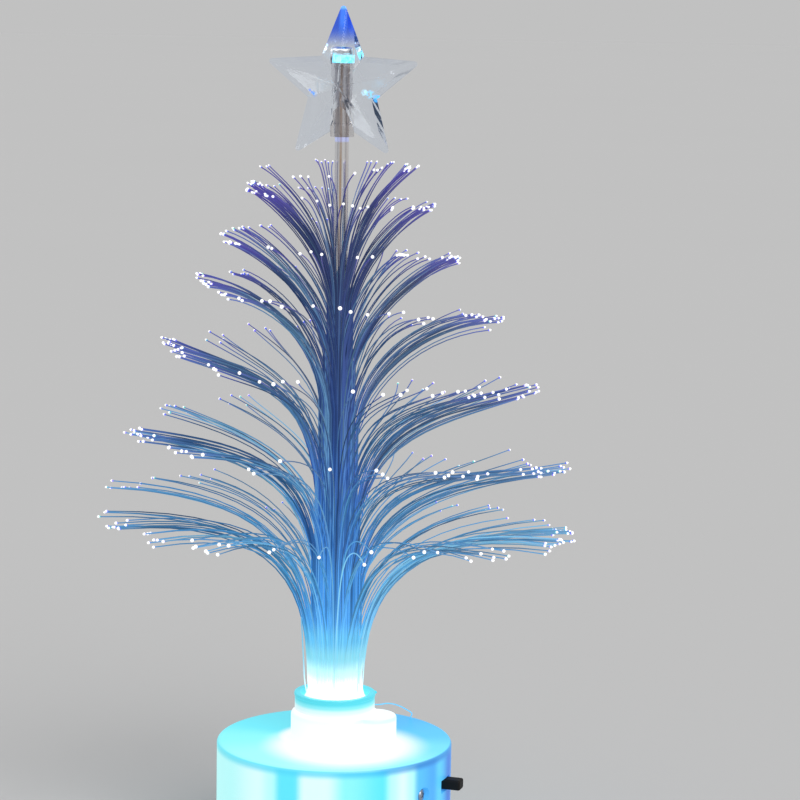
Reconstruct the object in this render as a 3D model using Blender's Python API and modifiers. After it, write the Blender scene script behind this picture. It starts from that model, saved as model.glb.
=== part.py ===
"""Battery-lit fibre optic table tree: a round lamp base, seven fibre tiers on a clear rod, and a star.

Units are metres and +Z is up. The front of the tree looks along -Y. The origin is on the table, under
the middle of the base. Every piece is its own closed solid, and touching pieces keep CLEARANCE.
"""

import math

import bmesh
import bpy
from mathutils import Matrix, Vector

# General
CLEARANCE = 0.0003
OVERRUN = 0.0010
MERGE_DISTANCE = 0.00001
SHARP_ANGLE = 30
ROUND_SIDES = 40
MIDDLE_SIDES = 32
SMALL_SIDES = 16
SCREW_SIDES = 12
LEG_SIDES = 8
ARC_STEPS = 4
SMALL_ARC_STEPS = 2

# Base housing
BASE_RADIUS = 0.0250
BASE_HEIGHT = 0.0250
BASE_WALL = 0.0016
BASE_EDGE_ROUND = 0.0020
COLLAR_RADIUS = 0.0093
COLLAR_HEIGHT = 0.0061
COLLAR_WALL = 0.0015
COLLAR_ROUND = 0.0007
COLLAR_FLARE = 0.0010
LOBE_RADIUS = 0.0049
LOBE_OFFSET = 0.0087
POST_RADIUS = 0.0024
POST_WALL_GAP = 0.0015
COVER_POST_TURNS = (60, 180, 300)

# Bottom cover, battery tray and feet
FOOT_LIFT = 0.0010
FOOT_RADIUS = 0.0028
FOOT_EDGE = 0.0008
FOOT_TURNS = (0, 120, 240)
FOOT_POCKET_DEPTH = 0.0005
COVER_THICKNESS = 0.0024
TRAY_WALL = 0.0010
DOOR_THICKNESS = 0.0012
DOOR_LEDGE = 0.0009
DOOR_BARREL_RADIUS = 0.00075
DOOR_PIN_RADIUS = 0.0004
DOOR_PIN_LENGTH = 0.0011
DOOR_GROOVE_DEPTH = 0.0003
DOOR_GROOVE_WIDTH = 0.0006
DOOR_GROOVE_COUNT = 4
NAIL_NOTCH_RADIUS = 0.0024
NAIL_NOTCH_DEPTH = 0.0008

# Button cells and their contacts
CELL_RADIUS = 0.0058
CELL_THICKNESS = 0.0054
CELL_STEP = 0.0008
CELL_COUNT = 3
CONTACT_THICKNESS = 0.0004
CONTACT_HALF_WIDTH = 0.0035
CONTACT_RISE = 0.0040
CONTACT_TAB_WIDTH = 0.0020
CONTACT_TAB_HEIGHT = 0.0012
CONTACT_SLOT_ROOM = 0.0004
LEAF_DEPTH = 0.0022
LEAF_HALF_WIDTH = 0.0020

# Screws
SCREW_RADIUS = 0.0009
SCREW_HEAD_RADIUS = 0.0019
SCREW_HEAD_HEIGHT = 0.0008
SCREW_HEAD_SIDE_SHARE = 0.7
SCREW_HEAD_FACE_SHARE = 0.8
SCREW_LENGTH = 0.0060
SCREW_CROSS_WIDTH = 0.0005
SCREW_CROSS_SPAN = 0.0022
SCREW_CROSS_DEPTH = 0.0004

# Lamp board
BOARD_HALF_WIDTH = 0.0060
BOARD_THICKNESS = 0.0012
BOARD_RISE = 0.0018
BOARD_NEAR_END = 0.0070
LED_RADIUS = 0.0025
LED_FLANGE_RADIUS = 0.0029
LED_FLANGE_HEIGHT = 0.0010
LED_LEG_RADIUS = 0.00025
LED_LEG_SPACING = 0.00254
LED_LEG_LENGTH = 0.0026
RESISTOR_RADIUS = 0.0009
RESISTOR_LENGTH = 0.0034
RESISTOR_WIRE_RADIUS = 0.00025
RESISTOR_SPAN = 0.0056
RESISTOR_OFFSET = 0.0043
RESISTOR_WAIST_SHARE = 0.8
RESISTOR_CAP_SHARES = (0.83, 0.5, 0.35)

# Slide switch, screwed behind a flat pad in the housing wall
SWITCH_TURN = 18.9
SWITCH_DROP = 0.0076
SWITCH_SPACING = 0.0190
SWITCH_PAD_DEPTH = 0.0047
SWITCH_PAD_HALF_HEIGHT = 0.0032
SWITCH_PLATE_THICKNESS = 0.0005
SWITCH_PLATE_MARGIN = 0.0017
SWITCH_PLATE_HALF_HEIGHT = 0.0027
SWITCH_BODY_DEPTH = 0.0049
SWITCH_BODY_HALF_LENGTH = 0.0063
SWITCH_BODY_HALF_HEIGHT = 0.0026
SWITCH_TRAVEL = 0.0020
LEVER_HALF_WIDTH = 0.0015
LEVER_HALF_HEIGHT = 0.0011
LEVER_REACH = 0.0032
LEVER_ROUND = 0.0004
SLIDER_HALF_LENGTH = 0.0026
SLIDER_HALF_HEIGHT = 0.0017
SLIDER_DEPTH = 0.0013
TERMINAL_COUNT = 3
TERMINAL_SPACING = 0.0038
TERMINAL_LENGTH = 0.0020
TERMINAL_HALF_WIDTH = 0.0005
TERMINAL_HALF_HEIGHT = 0.00035
SWITCH_SCREW_RADIUS = 0.0007
SWITCH_SCREW_HEAD_RADIUS = 0.0014
SWITCH_SCREW_HEAD_HEIGHT = 0.0009
SWITCH_SCREW_SEAT = 0.0017
SWITCH_SCREW_TAIL = 0.0008

# Inner leads
LEAD_RADIUS = 0.0004
LEAD_POINTS = 18
LEAD_LOOP = 0.0016
RED_SWING = 0.0061
RED_TURN_IN = 0.0013
BLUE_SWING = 0.0046
BLUE_LANDING = 0.0042
BLUE_RISE = 0.0019
BLACK_RISE = 0.0024

# Fibre socket and glue
SOCKET_DEPTH = 0.0045
SOCKET_HEIGHT = 0.0041
SOCKET_RADIUS = 0.0085
SOCKET_LIP = 0.00015
SOCKET_LIP_HEIGHT = 0.0006
SOCKET_WALL = 0.0008
SOCKET_SEAT = 0.0007
SOCKET_SEAT_WIDTH = 0.0005
SOCKET_SHELF_WIDTH = 0.0007
GLUE_HEIGHT = 0.0036
GLUE_WALL = 0.0006
GLUE_RISE_SHARES = (0.6, 0.35, 0.2)

# Clear rod
ROD_RADIUS = 0.00145
ROD_LENGTH = 0.1425

# Fibre tiers, from the top tier to the lowest
FIBRE_RADIUS = 0.00017
FIBRE_REACH = 0.0494
FIBRE_RING_STEP = 0.00066
FIBRE_SHARE = 0.42
SLICE_THICKNESS = 0.0007
SLICE_SIDES = 16
SLICE_MARGIN = 0.00003
TIP_HEIGHT_SHARES = (0.823, 0.787, 0.717, 0.635, 0.532, 0.409, 0.274)
TIP_REACH_SHARES = (0.348, 0.395, 0.498, 0.634, 0.777, 0.917, 0.992)
TIP_SHIFT_SHARES = (-0.09, 0.0, 0.012, 0.064, 0.065, 0.040, 0.0)
TIP_TILT_SHARES = (-0.075, 0.051, 0.041, 0.093, 0.094, 0.055, 0.061)
TIP_DROOP_SHARES = (0.0, 0.07, 0.09, 0.073, 0.057, 0.08, 0.0)
DROOP_POWER = 8
REACH_WAVE_SHARE = 0.03
REACH_WAVES = 5

# Bend of the fibres of each tier: start of the bend, then the reach and climb of its two guide points
BEND_START_SHARES = (0.783, 0.792, 0.761, 0.707, 0.580, 0.508, 0.160)
FIRST_REACH_SHARES = (0.12, 0.128, 0.094, 0.060, 0.071, 0.068, 0.025)
FIRST_CLIMB_SHARES = (0.625, 0.590, 0.435, 0.560, 0.733, 0.667, 0.610)
SECOND_REACH_SHARES = (0.79, 0.85, 0.615, 0.550, 0.485, 0.368, 0.210)
SECOND_CLIMB_SHARES = (0.896, 0.977, 0.887, 0.940, 0.800, 0.852, 1.0)
BEND_SHARES = (0.0, 0.35, 0.68, 1.0)

# Clumps of fibres of each tier: turn of their tips from +X, half spread, number of fibres, and lift of
# their tips in steps of a share of the rod above the socket
LIFT_STEP_SHARE = 0.00745
FIBRE_CLUMPS = (
    (
        (-158, 8, 6, -0.8),
        (-121, 11, 5, 0.3),
        (-90, 12, 4, 0.8),
        (-64, 5, 3, 1.2),
        (-32, 6, 7, 0.2),
        (2, 12, 3, 0.0),
        (30, 4, 3, 0.0),
        (51, 4, 3, 0.2),
        (67, 5, 3, 0.4),
        (103, 8, 6, 1.4),
        (150, 7, 3, 1.6),
        (182, 7, 4, -1.0),
    ),
    (
        (-139, 4, 3, 0.0),
        (-109, 6, 5, 0.0),
        (-85, 10, 8, -0.7),
        (-58, 3, 5, -0.6),
        (-42, 3, 3, -0.4),
        (-27, 8, 8, -0.4),
        (12, 9, 5, 0.0),
        (55, 14, 5, -1.0),
        (104, 14, 5, 0.0),
        (140, 9, 4, 0.0),
        (167, 8, 4, 0.0),
        (200, 8, 4, 0.2),
    ),
    (
        (-158, 9, 9, -0.7),
        (-126, 4, 4, -0.5),
        (-105, 8, 5, -0.7),
        (-78, 6, 7, -1.0),
        (-60, 5, 7, -0.5),
        (-48, 4, 4, -0.7),
        (-25, 9, 8, -0.3),
        (12, 9, 6, -1.0),
        (58, 14, 4, -3.4),
        (101, 6, 4, 1.8),
        (132, 5, 4, 0.6),
        (151, 6, 6, 0.4),
        (176, 5, 3, 0.0),
    ),
    (
        (-155, 4, 5, 0.2),
        (-132, 17, 10, -0.6),
        (-95, 7, 4, 0.3),
        (-83, 4, 5, -1.1),
        (-70, 6, 5, 0.2),
        (-58, 4, 6, -0.6),
        (-31, 8, 6, 0.6),
        (-8, 10, 8, 0.6),
        (29, 13, 6, -3.6),
        (70, 13, 5, -8.0),
        (113, 7, 6, 1.1),
        (138, 8, 6, 0.0),
        (177, 6, 5, 0.0),
    ),
    (
        (-152, 8, 9, 0.4),
        (-129, 7, 6, -1.2),
        (-113, 8, 6, -0.7),
        (-88, 3, 3, 0.0),
        (-70, 9, 10, -0.2),
        (-46, 8, 9, 0.3),
        (-26, 6, 4, 0.0),
        (-9, 8, 9, 0.8),
        (26, 13, 6, -3.6),
        (60, 12, 6, -8.8),
        (103, 5, 4, 1.8),
        (118, 6, 4, 0.8),
        (137, 5, 5, -1.4),
        (178, 9, 9, 0.0),
    ),
    (
        (-155, 7, 8, 0.6),
        (-133, 12, 10, -0.3),
        (-104, 4, 5, -0.3),
        (-78, 4, 6, 0.4),
        (-58, 9, 10, 0.1),
        (-31, 8, 9, 0.4),
        (-4, 8, 8, 0.3),
        (24, 11, 7, -4.8),
        (62, 14, 7, -10.4),
        (121, 6, 6, 0.4),
        (146, 7, 8, -0.4),
        (174, 8, 7, -3.0),
    ),
    (
        (-172, 8, 6, -1.4),
        (-155, 4, 4, 0.4),
        (-139, 3, 5, -0.2),
        (-121, 5, 9, 1.2),
        (-106, 4, 4, 2.7),
        (-84, 9, 7, 2.7),
        (-66, 5, 6, 3.3),
        (-50, 7, 8, 3.1),
        (-27, 8, 9, 2.8),
        (-14, 4, 4, 2.6),
        (5, 8, 6, 0.7),
        (22, 7, 7, -1.0),
        (44, 7, 6, -1.6),
        (60, 5, 4, -3.2),
        (84, 7, 4, -3.4),
        (106, 6, 4, -6.0),
        (129, 6, 6, 0.4),
        (149, 5, 4, 0.6),
        (163, 6, 6, 1.4),
    ),
)

# Clear star
STAR_RADIUS = 0.0169
STAR_POINTS = 5
STAR_NOTCH_SHARE = 0.457
STAR_DEPTH = 0.0048
STAR_WALL = 0.0008
STAR_DROP = 0.0059
STAR_SOCKET_RADIUS = 0.0021
STAR_SOCKET_TOP_RADIUS = 0.0026
STAR_SOCKET_DEPTH = 0.0165
STAR_SOCKET_TAPER = 0.0085
STAR_SOCKET_CAP = 0.0010

# Places worked out from the sizes above
COVER_TOP = FOOT_LIFT + COVER_THICKNESS
PLATE_TOP = FOOT_LIFT + BASE_HEIGHT
PLATE_BOTTOM = PLATE_TOP - BASE_WALL
COLLAR_TOP = PLATE_TOP + COLLAR_HEIGHT
COLLAR_BORE = COLLAR_RADIUS - COLLAR_WALL
HOUSING_BORE = BASE_RADIUS - BASE_WALL
COVER_RADIUS = HOUSING_BORE - CLEARANCE
COVER_POST_CIRCLE = HOUSING_BORE - POST_WALL_GAP - POST_RADIUS
FOOT_CIRCLE = COVER_RADIUS - FOOT_EDGE - FOOT_RADIUS

DOOR_TOP = FOOT_LIFT + DOOR_THICKNESS
CELL_AXIS_Z = DOOR_TOP + CLEARANCE + CELL_RADIUS
STACK_LENGTH = CELL_COUNT * CELL_THICKNESS + (CELL_COUNT - 1) * CLEARANCE
PLUS_ROOM = CONTACT_THICKNESS + 2 * CLEARANCE
MINUS_ROOM = LEAF_DEPTH + 2 * CLEARANCE
TRAY_HALF_LENGTH = (STACK_LENGTH + PLUS_ROOM + MINUS_ROOM) / 2
TRAY_HALF_WIDTH = CELL_RADIUS + CLEARANCE
TRAY_CEILING = CELL_AXIS_Z + CELL_RADIUS + CLEARANCE
TRAY_TOP = TRAY_CEILING + TRAY_WALL
TAB_TOP = TRAY_TOP + CONTACT_TAB_HEIGHT

BOARD_BOTTOM = TRAY_TOP + BOARD_RISE
BOARD_TOP = BOARD_BOTTOM + BOARD_THICKNESS
SWITCH_Z = PLATE_TOP - SWITCH_DROP
PAD_FACE = BASE_RADIUS - SWITCH_PAD_DEPTH
PLATE_FRONT = PAD_FACE - CLEARANCE
PLATE_BACK = PLATE_FRONT - SWITCH_PLATE_THICKNESS
BODY_FRONT = PLATE_BACK - CLEARANCE
BODY_BACK = BODY_FRONT - SWITCH_BODY_DEPTH
TERMINAL_FRONT = BODY_BACK - CLEARANCE
TERMINAL_BACK = TERMINAL_FRONT - TERMINAL_LENGTH
LEVER_REST = SWITCH_TRAVEL / 2
SWITCH_PLATE_HALF_LENGTH = SWITCH_SPACING / 2 + SWITCH_PLATE_MARGIN

SOCKET_BOTTOM = COLLAR_TOP - SOCKET_DEPTH
LED_FOOT = BOARD_TOP + CLEARANCE
LED_HEIGHT = SOCKET_BOTTOM - CLEARANCE - LED_FOOT
SOCKET_STEP = COLLAR_TOP + CLEARANCE
SOCKET_TOP = SOCKET_STEP + SOCKET_HEIGHT - CLEARANCE
SPIGOT_RADIUS = COLLAR_BORE - CLEARANCE
SOCKET_BORE = SPIGOT_RADIUS - SOCKET_WALL
SLICE_RADIUS = SOCKET_BORE - CLEARANCE
SLICE_PITCH = SLICE_THICKNESS + CLEARANCE
FIRST_SLICE_Z = SOCKET_BOTTOM + SOCKET_SEAT + CLEARANCE
TIER_COUNT = len(FIBRE_CLUMPS)
LAST_SLICE_TOP = FIRST_SLICE_Z + (TIER_COUNT - 1) * SLICE_PITCH + SLICE_THICKNESS
FIRST_RING = ROD_RADIUS + CLEARANCE + 2 * SLICE_MARGIN + FIBRE_RADIUS / math.cos(math.pi / SLICE_SIDES)
GLUE_BOTTOM = LAST_SLICE_TOP + CLEARANCE
GLUE_BORE = FIRST_RING + (TIER_COUNT - 1) * FIBRE_RING_STEP + FIBRE_RADIUS + CLEARANCE

ROD_BOTTOM = SOCKET_BOTTOM + CLEARANCE
ROD_TOP = ROD_BOTTOM + ROD_LENGTH
STAR_Z = ROD_TOP - STAR_DROP
STAR_BORE = ROD_RADIUS + CLEARANCE
STAR_SOCKET_TOP = ROD_TOP + CLEARANCE + STAR_SOCKET_CAP
STAR_SOCKET_BOTTOM = ROD_TOP - STAR_SOCKET_DEPTH

# Finishes: base colour, roughness, metallic, transmission
FINISHES = {
    "frosted_plastic": ((0.78, 0.93, 0.96), 0.45, 0.0, 0.3),
    "white_plastic": ((0.80, 0.86, 0.88), 0.50, 0.0, 0.0),
    "black_plastic": ((0.02, 0.02, 0.025), 0.40, 0.0, 0.0),
    "rubber": ((0.05, 0.05, 0.05), 0.80, 0.0, 0.0),
    "steel": ((0.60, 0.60, 0.62), 0.30, 1.0, 0.0),
    "nickel": ((0.72, 0.70, 0.66), 0.25, 1.0, 0.0),
    "board": ((0.55, 0.40, 0.20), 0.60, 0.0, 0.0),
    "lamp_lens": ((0.80, 0.95, 1.00), 0.10, 0.0, 0.6),
    "resistor_body": ((0.65, 0.52, 0.35), 0.50, 0.0, 0.0),
    "red_lead": ((0.55, 0.03, 0.03), 0.45, 0.0, 0.0),
    "black_lead": ((0.02, 0.02, 0.02), 0.45, 0.0, 0.0),
    "blue_lead": ((0.03, 0.08, 0.45), 0.45, 0.0, 0.0),
    "clear_glue": ((0.85, 0.97, 1.00), 0.35, 0.0, 0.5),
    "clear_rod": ((0.95, 0.97, 0.98), 0.05, 0.0, 0.9),
    "fibre": ((0.35, 0.65, 0.90), 0.20, 0.0, 0.5),
    "clear_star": ((0.92, 0.95, 0.97), 0.08, 0.0, 0.9),
}


def clear_scene():
    """Remove whatever the scene holds."""
    for thing in list(bpy.data.objects):
        bpy.data.objects.remove(thing, do_unlink=True)


def make_collection(name):
    """A collection linked to the scene."""
    group = bpy.data.collections.new(name)
    bpy.context.scene.collection.children.link(group)
    return group


def make_finish(name):
    """A Principled material with the finish's colour, roughness, metallic value and transmission."""
    colour, roughness, metallic, transmission = FINISHES[name]
    material = bpy.data.materials.new(name)
    material.use_nodes = True
    shader = material.node_tree.nodes["Principled BSDF"]
    shader.inputs["Base Color"].default_value = (*colour, 1.0)
    shader.inputs["Roughness"].default_value = roughness
    shader.inputs["Metallic"].default_value = metallic
    shader.inputs["Transmission Weight"].default_value = transmission
    return material


def move_to(thing, group):
    """Put an object in one collection only."""
    for other in list(thing.users_collection):
        other.objects.unlink(thing)
    group.objects.link(thing)


def part(thing, name, finish, smooth=True, parent=None):
    """Name a shape as a sub-part and give it its own material."""
    thing.name = name
    thing.data.name = name
    thing.data.materials.clear()
    thing.data.materials.append(make_finish(finish))
    if smooth and thing.type == "MESH":
        thing.data.shade_smooth()
        thing.data.set_sharp_from_angle(angle=math.radians(SHARP_ANGLE))
    thing.parent = parent
    move_to(thing, PARTS)
    return thing


def tool(thing, name, parent=None):
    """Keep a shape as a hidden cutter or joined block."""
    thing.name = name
    thing.hide_render = True
    thing.display_type = "WIRE"
    thing.parent = parent
    move_to(thing, CUTTERS)
    return thing


def combine(target, other, operation):
    """Add a Boolean modifier that joins, cuts or trims the target with another object."""
    step = target.modifiers.new(f"{operation.lower()}_{other.name}", "BOOLEAN")
    step.operation = operation
    step.solver = "EXACT"
    step.object = other
    return target


def box(low, high):
    """A box between two corners, at its own middle."""
    low = Vector(low)
    high = Vector(high)
    bpy.ops.mesh.primitive_cube_add(size=1.0, location=(low + high) / 2)
    cube = bpy.context.object
    cube.data.transform(Matrix.Diagonal((high - low).to_4d()))
    return cube


def cylinder(radius, start, end, sides=SMALL_SIDES):
    """A cylinder from one point to another."""
    start = Vector(start)
    end = Vector(end)
    axis = end - start
    turn = axis.to_track_quat("Z", "Y").to_euler()
    bpy.ops.mesh.primitive_cylinder_add(
        vertices=sides, radius=radius, depth=axis.length, location=(start + end) / 2, rotation=turn
    )
    return bpy.context.object


def turned(profile, sides=ROUND_SIDES, closed=True):
    """A profile of (radius, height) points, outer side first from the top, turned about Z by a Screw."""
    mesh = bpy.data.meshes.new("profile")
    points = [(radius, 0.0, height) for radius, height in profile]
    edges = [(index, index + 1) for index in range(len(points) - 1)]
    if closed:
        edges.append((len(points) - 1, 0))
    mesh.from_pydata(points, edges, [])
    thing = bpy.data.objects.new("turned", mesh)
    bpy.context.scene.collection.objects.link(thing)
    step = thing.modifiers.new("turn", "SCREW")
    step.angle = math.tau
    step.steps = sides
    step.render_steps = sides
    step.use_merge_vertices = True
    step.merge_threshold = MERGE_DISTANCE
    return thing


def arc(centre, radius, start, end, steps=ARC_STEPS):
    """Points (radius, height) on a round edge, from one angle in degrees to another."""
    points = []
    for index in range(steps + 1):
        angle = math.radians(start + (end - start) * index / steps)
        points.append((centre[0] + radius * math.cos(angle), centre[1] + radius * math.sin(angle)))
    return points


def flat_outline(points, half_thickness, holes=()):
    """A flat filled outline in its own XY plane, with any holes, extruded both ways."""
    curve = bpy.data.curves.new("outline", "CURVE")
    curve.dimensions = "2D"
    curve.fill_mode = "BOTH"
    curve.extrude = half_thickness
    for loop in (points, *holes):
        spline = curve.splines.new("POLY")
        spline.points.add(len(loop) - 1)
        for place, (x, y) in zip(spline.points, loop):
            place.co = (x, y, 0.0, 1.0)
        spline.use_cyclic_u = True
    thing = bpy.data.objects.new("outline", curve)
    bpy.context.scene.collection.objects.link(thing)
    return thing


def wire(routes, radius, profile=None):
    """A round wire along each route of points, with filled caps; a profile object gives it fewer sides."""
    curve = bpy.data.curves.new("wire", "CURVE")
    curve.dimensions = "3D"
    curve.use_fill_caps = True
    if profile:
        curve.bevel_mode = "OBJECT"
        curve.bevel_object = profile
    else:
        curve.bevel_depth = radius
        curve.bevel_resolution = 2
    for route in routes:
        spline = curve.splines.new("POLY")
        spline.points.add(len(route) - 1)
        for place, point in zip(spline.points, route):
            place.co = (*point, 1.0)
    thing = bpy.data.objects.new("wire", curve)
    bpy.context.scene.collection.objects.link(thing)
    return thing


def as_mesh(thing):
    """Turn a curve object into a mesh object with its caps welded on."""
    bpy.context.view_layer.update()
    graph = bpy.context.evaluated_depsgraph_get()
    mesh = bpy.data.meshes.new_from_object(thing.evaluated_get(graph))
    shape = bmesh.new()
    shape.from_mesh(mesh)
    bmesh.ops.remove_doubles(shape, verts=shape.verts, dist=MERGE_DISTANCE)
    bmesh.ops.recalc_face_normals(shape, faces=shape.faces)
    shape.to_mesh(mesh)
    shape.free()
    solid = bpy.data.objects.new(thing.name, mesh)
    solid.matrix_world = thing.matrix_world
    bpy.context.scene.collection.objects.link(solid)
    bpy.data.objects.remove(thing, do_unlink=True)
    return solid


def smooth_route(points, count):
    """Evenly numbered points on a smooth curve through the route's own points."""
    knots = [Vector(point) for point in points]
    padded = [2 * knots[0] - knots[1], *knots, 2 * knots[-1] - knots[-2]]
    spans = len(knots) - 1
    route = []
    for index in range(count):
        place = spans * index / (count - 1)
        span = min(int(place), spans - 1)
        t = place - span
        a, b, c, d = padded[span : span + 4]
        bend = (2 * a - 5 * b + 4 * c - d) * t + (3 * b - a - 3 * c + d) * t * t
        route.append(b + ((c - a) + bend) * t / 2)
    return route


def around(circle, turn, height=0.0):
    """A point on a circle about Z, at a turn in degrees from +X."""
    angle = math.radians(turn)
    return Vector((circle * math.cos(angle), circle * math.sin(angle), height))


def circle_points(centre, radius, sides):
    """Points (x, y) on a circle."""
    turns = [math.tau * index / sides for index in range(sides)]
    return [(centre[0] + radius * math.cos(turn), centre[1] + radius * math.sin(turn)) for turn in turns]


def make_housing():
    """Round translucent housing: filleted shell, collar, side lobe, screw posts and switch pad."""
    profile = [(COLLAR_BORE, COLLAR_TOP)]
    round_centre = (COLLAR_RADIUS - COLLAR_ROUND, COLLAR_TOP - COLLAR_ROUND)
    profile += arc(round_centre, COLLAR_ROUND, 90, 0, SMALL_ARC_STEPS)
    flare_centre = (COLLAR_RADIUS + COLLAR_FLARE, PLATE_TOP + COLLAR_FLARE)
    profile += arc(flare_centre, COLLAR_FLARE, 180, 270, SMALL_ARC_STEPS)
    profile += arc((BASE_RADIUS - BASE_EDGE_ROUND, PLATE_TOP - BASE_EDGE_ROUND), BASE_EDGE_ROUND, 90, 0)
    profile += [(BASE_RADIUS, FOOT_LIFT), (HOUSING_BORE, FOOT_LIFT)]
    inner_round = max(BASE_EDGE_ROUND - BASE_WALL, BASE_WALL / 2)
    round_centre = (HOUSING_BORE - inner_round, PLATE_BOTTOM - inner_round)
    profile += arc(round_centre, inner_round, 0, 90, SMALL_ARC_STEPS)
    profile.append((COLLAR_BORE, PLATE_BOTTOM))
    housing = part(turned(profile), "base_housing", "frosted_plastic")

    lobe_profile = [(0.0, COLLAR_TOP)]
    round_centre = (LOBE_RADIUS - COLLAR_ROUND, COLLAR_TOP - COLLAR_ROUND)
    lobe_profile += arc(round_centre, COLLAR_ROUND, 90, 0, SMALL_ARC_STEPS)
    lobe_profile += [(LOBE_RADIUS, PLATE_TOP - BASE_WALL / 2), (0.0, PLATE_TOP - BASE_WALL / 2)]
    lobe = tool(turned(lobe_profile, MIDDLE_SIDES, closed=False), "lobe_block", SWITCH_AXIS)
    lobe.location = (LOBE_OFFSET, 0.0, 0.0)
    trim_radius = COLLAR_RADIUS - COLLAR_WALL / 2
    trim = cylinder(trim_radius, (0, 0, PLATE_BOTTOM), (0, 0, COLLAR_TOP + OVERRUN), ROUND_SIDES)
    combine(lobe, tool(trim, "lobe_trim"), "DIFFERENCE")
    combine(housing, lobe, "UNION")

    board_post = cylinder(
        POST_RADIUS, (LOBE_OFFSET, 0, BOARD_TOP + CLEARANCE), (LOBE_OFFSET, 0, PLATE_TOP - BASE_WALL / 2)
    )
    board_post = tool(board_post, "board_post_block", SWITCH_AXIS)
    combine(board_post, bpy.data.objects["lobe_trim"], "DIFFERENCE")
    combine(housing, board_post, "UNION")
    for index, turn in enumerate(COVER_POST_TURNS):
        low = around(COVER_POST_CIRCLE, turn, COVER_TOP + CLEARANCE)
        high = around(COVER_POST_CIRCLE, turn, PLATE_TOP - BASE_WALL / 2)
        combine(housing, tool(cylinder(POST_RADIUS, low, high), f"cover_post_block_{index}"), "UNION")

    pad_low = (PAD_FACE, -HOUSING_BORE, SWITCH_Z - SWITCH_PAD_HALF_HEIGHT)
    pad_high = (BASE_RADIUS, HOUSING_BORE, SWITCH_Z + SWITCH_PAD_HALF_HEIGHT)
    pad = tool(box(pad_low, pad_high), "switch_pad_block", SWITCH_AXIS)
    round_limit = cylinder(BASE_RADIUS - BASE_WALL / 2, (0, 0, 0), (0, 0, PLATE_TOP), ROUND_SIDES)
    combine(pad, tool(round_limit, "switch_pad_limit"), "INTERSECT")
    combine(housing, pad, "UNION")

    pilot = SCREW_RADIUS + CLEARANCE
    for index, turn in enumerate(COVER_POST_TURNS):
        low = around(COVER_POST_CIRCLE, turn, COVER_TOP - OVERRUN)
        high = around(COVER_POST_CIRCLE, turn, cover_screw_top() + CLEARANCE)
        combine(housing, tool(cylinder(pilot, low, high), f"cover_pilot_{index}"), "DIFFERENCE")
    low = (LOBE_OFFSET, 0, BOARD_TOP - OVERRUN)
    high = (LOBE_OFFSET, 0, board_screw_top() + CLEARANCE)
    combine(housing, tool(cylinder(pilot, low, high), "board_pilot", SWITCH_AXIS), "DIFFERENCE")

    slot_half = LEVER_HALF_WIDTH + SWITCH_TRAVEL / 2 + CLEARANCE
    slot_low = (PAD_FACE - OVERRUN, -slot_half, SWITCH_Z - LEVER_HALF_HEIGHT - CLEARANCE)
    slot_high = (BASE_RADIUS + OVERRUN, slot_half, SWITCH_Z + LEVER_HALF_HEIGHT + CLEARANCE)
    combine(housing, tool(box(slot_low, slot_high), "lever_slot", SWITCH_AXIS), "DIFFERENCE")
    for name, side in (("front", -1), ("back", 1)):
        y = side * SWITCH_SPACING / 2
        hole = cylinder(
            SWITCH_SCREW_RADIUS + CLEARANCE, (PAD_FACE - OVERRUN, y, SWITCH_Z), (BASE_RADIUS, y, SWITCH_Z)
        )
        combine(housing, tool(hole, f"switch_hole_{name}", SWITCH_AXIS), "DIFFERENCE")
        seat = cylinder(
            SWITCH_SCREW_HEAD_RADIUS + CLEARANCE,
            (PAD_FACE + SWITCH_SCREW_SEAT, y, SWITCH_Z),
            (BASE_RADIUS + OVERRUN, y, SWITCH_Z),
        )
        combine(housing, tool(seat, f"switch_seat_{name}", SWITCH_AXIS), "DIFFERENCE")
    return housing


def cover_screw_top():
    """Height of the tip of a cover screw, whose head is sunk in the cover."""
    return FOOT_LIFT + SCREW_HEAD_HEIGHT + SCREW_LENGTH


def board_screw_top():
    """Height of the tip of the board screw, whose head is under the board."""
    return BOARD_BOTTOM - CLEARANCE + SCREW_LENGTH


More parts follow.
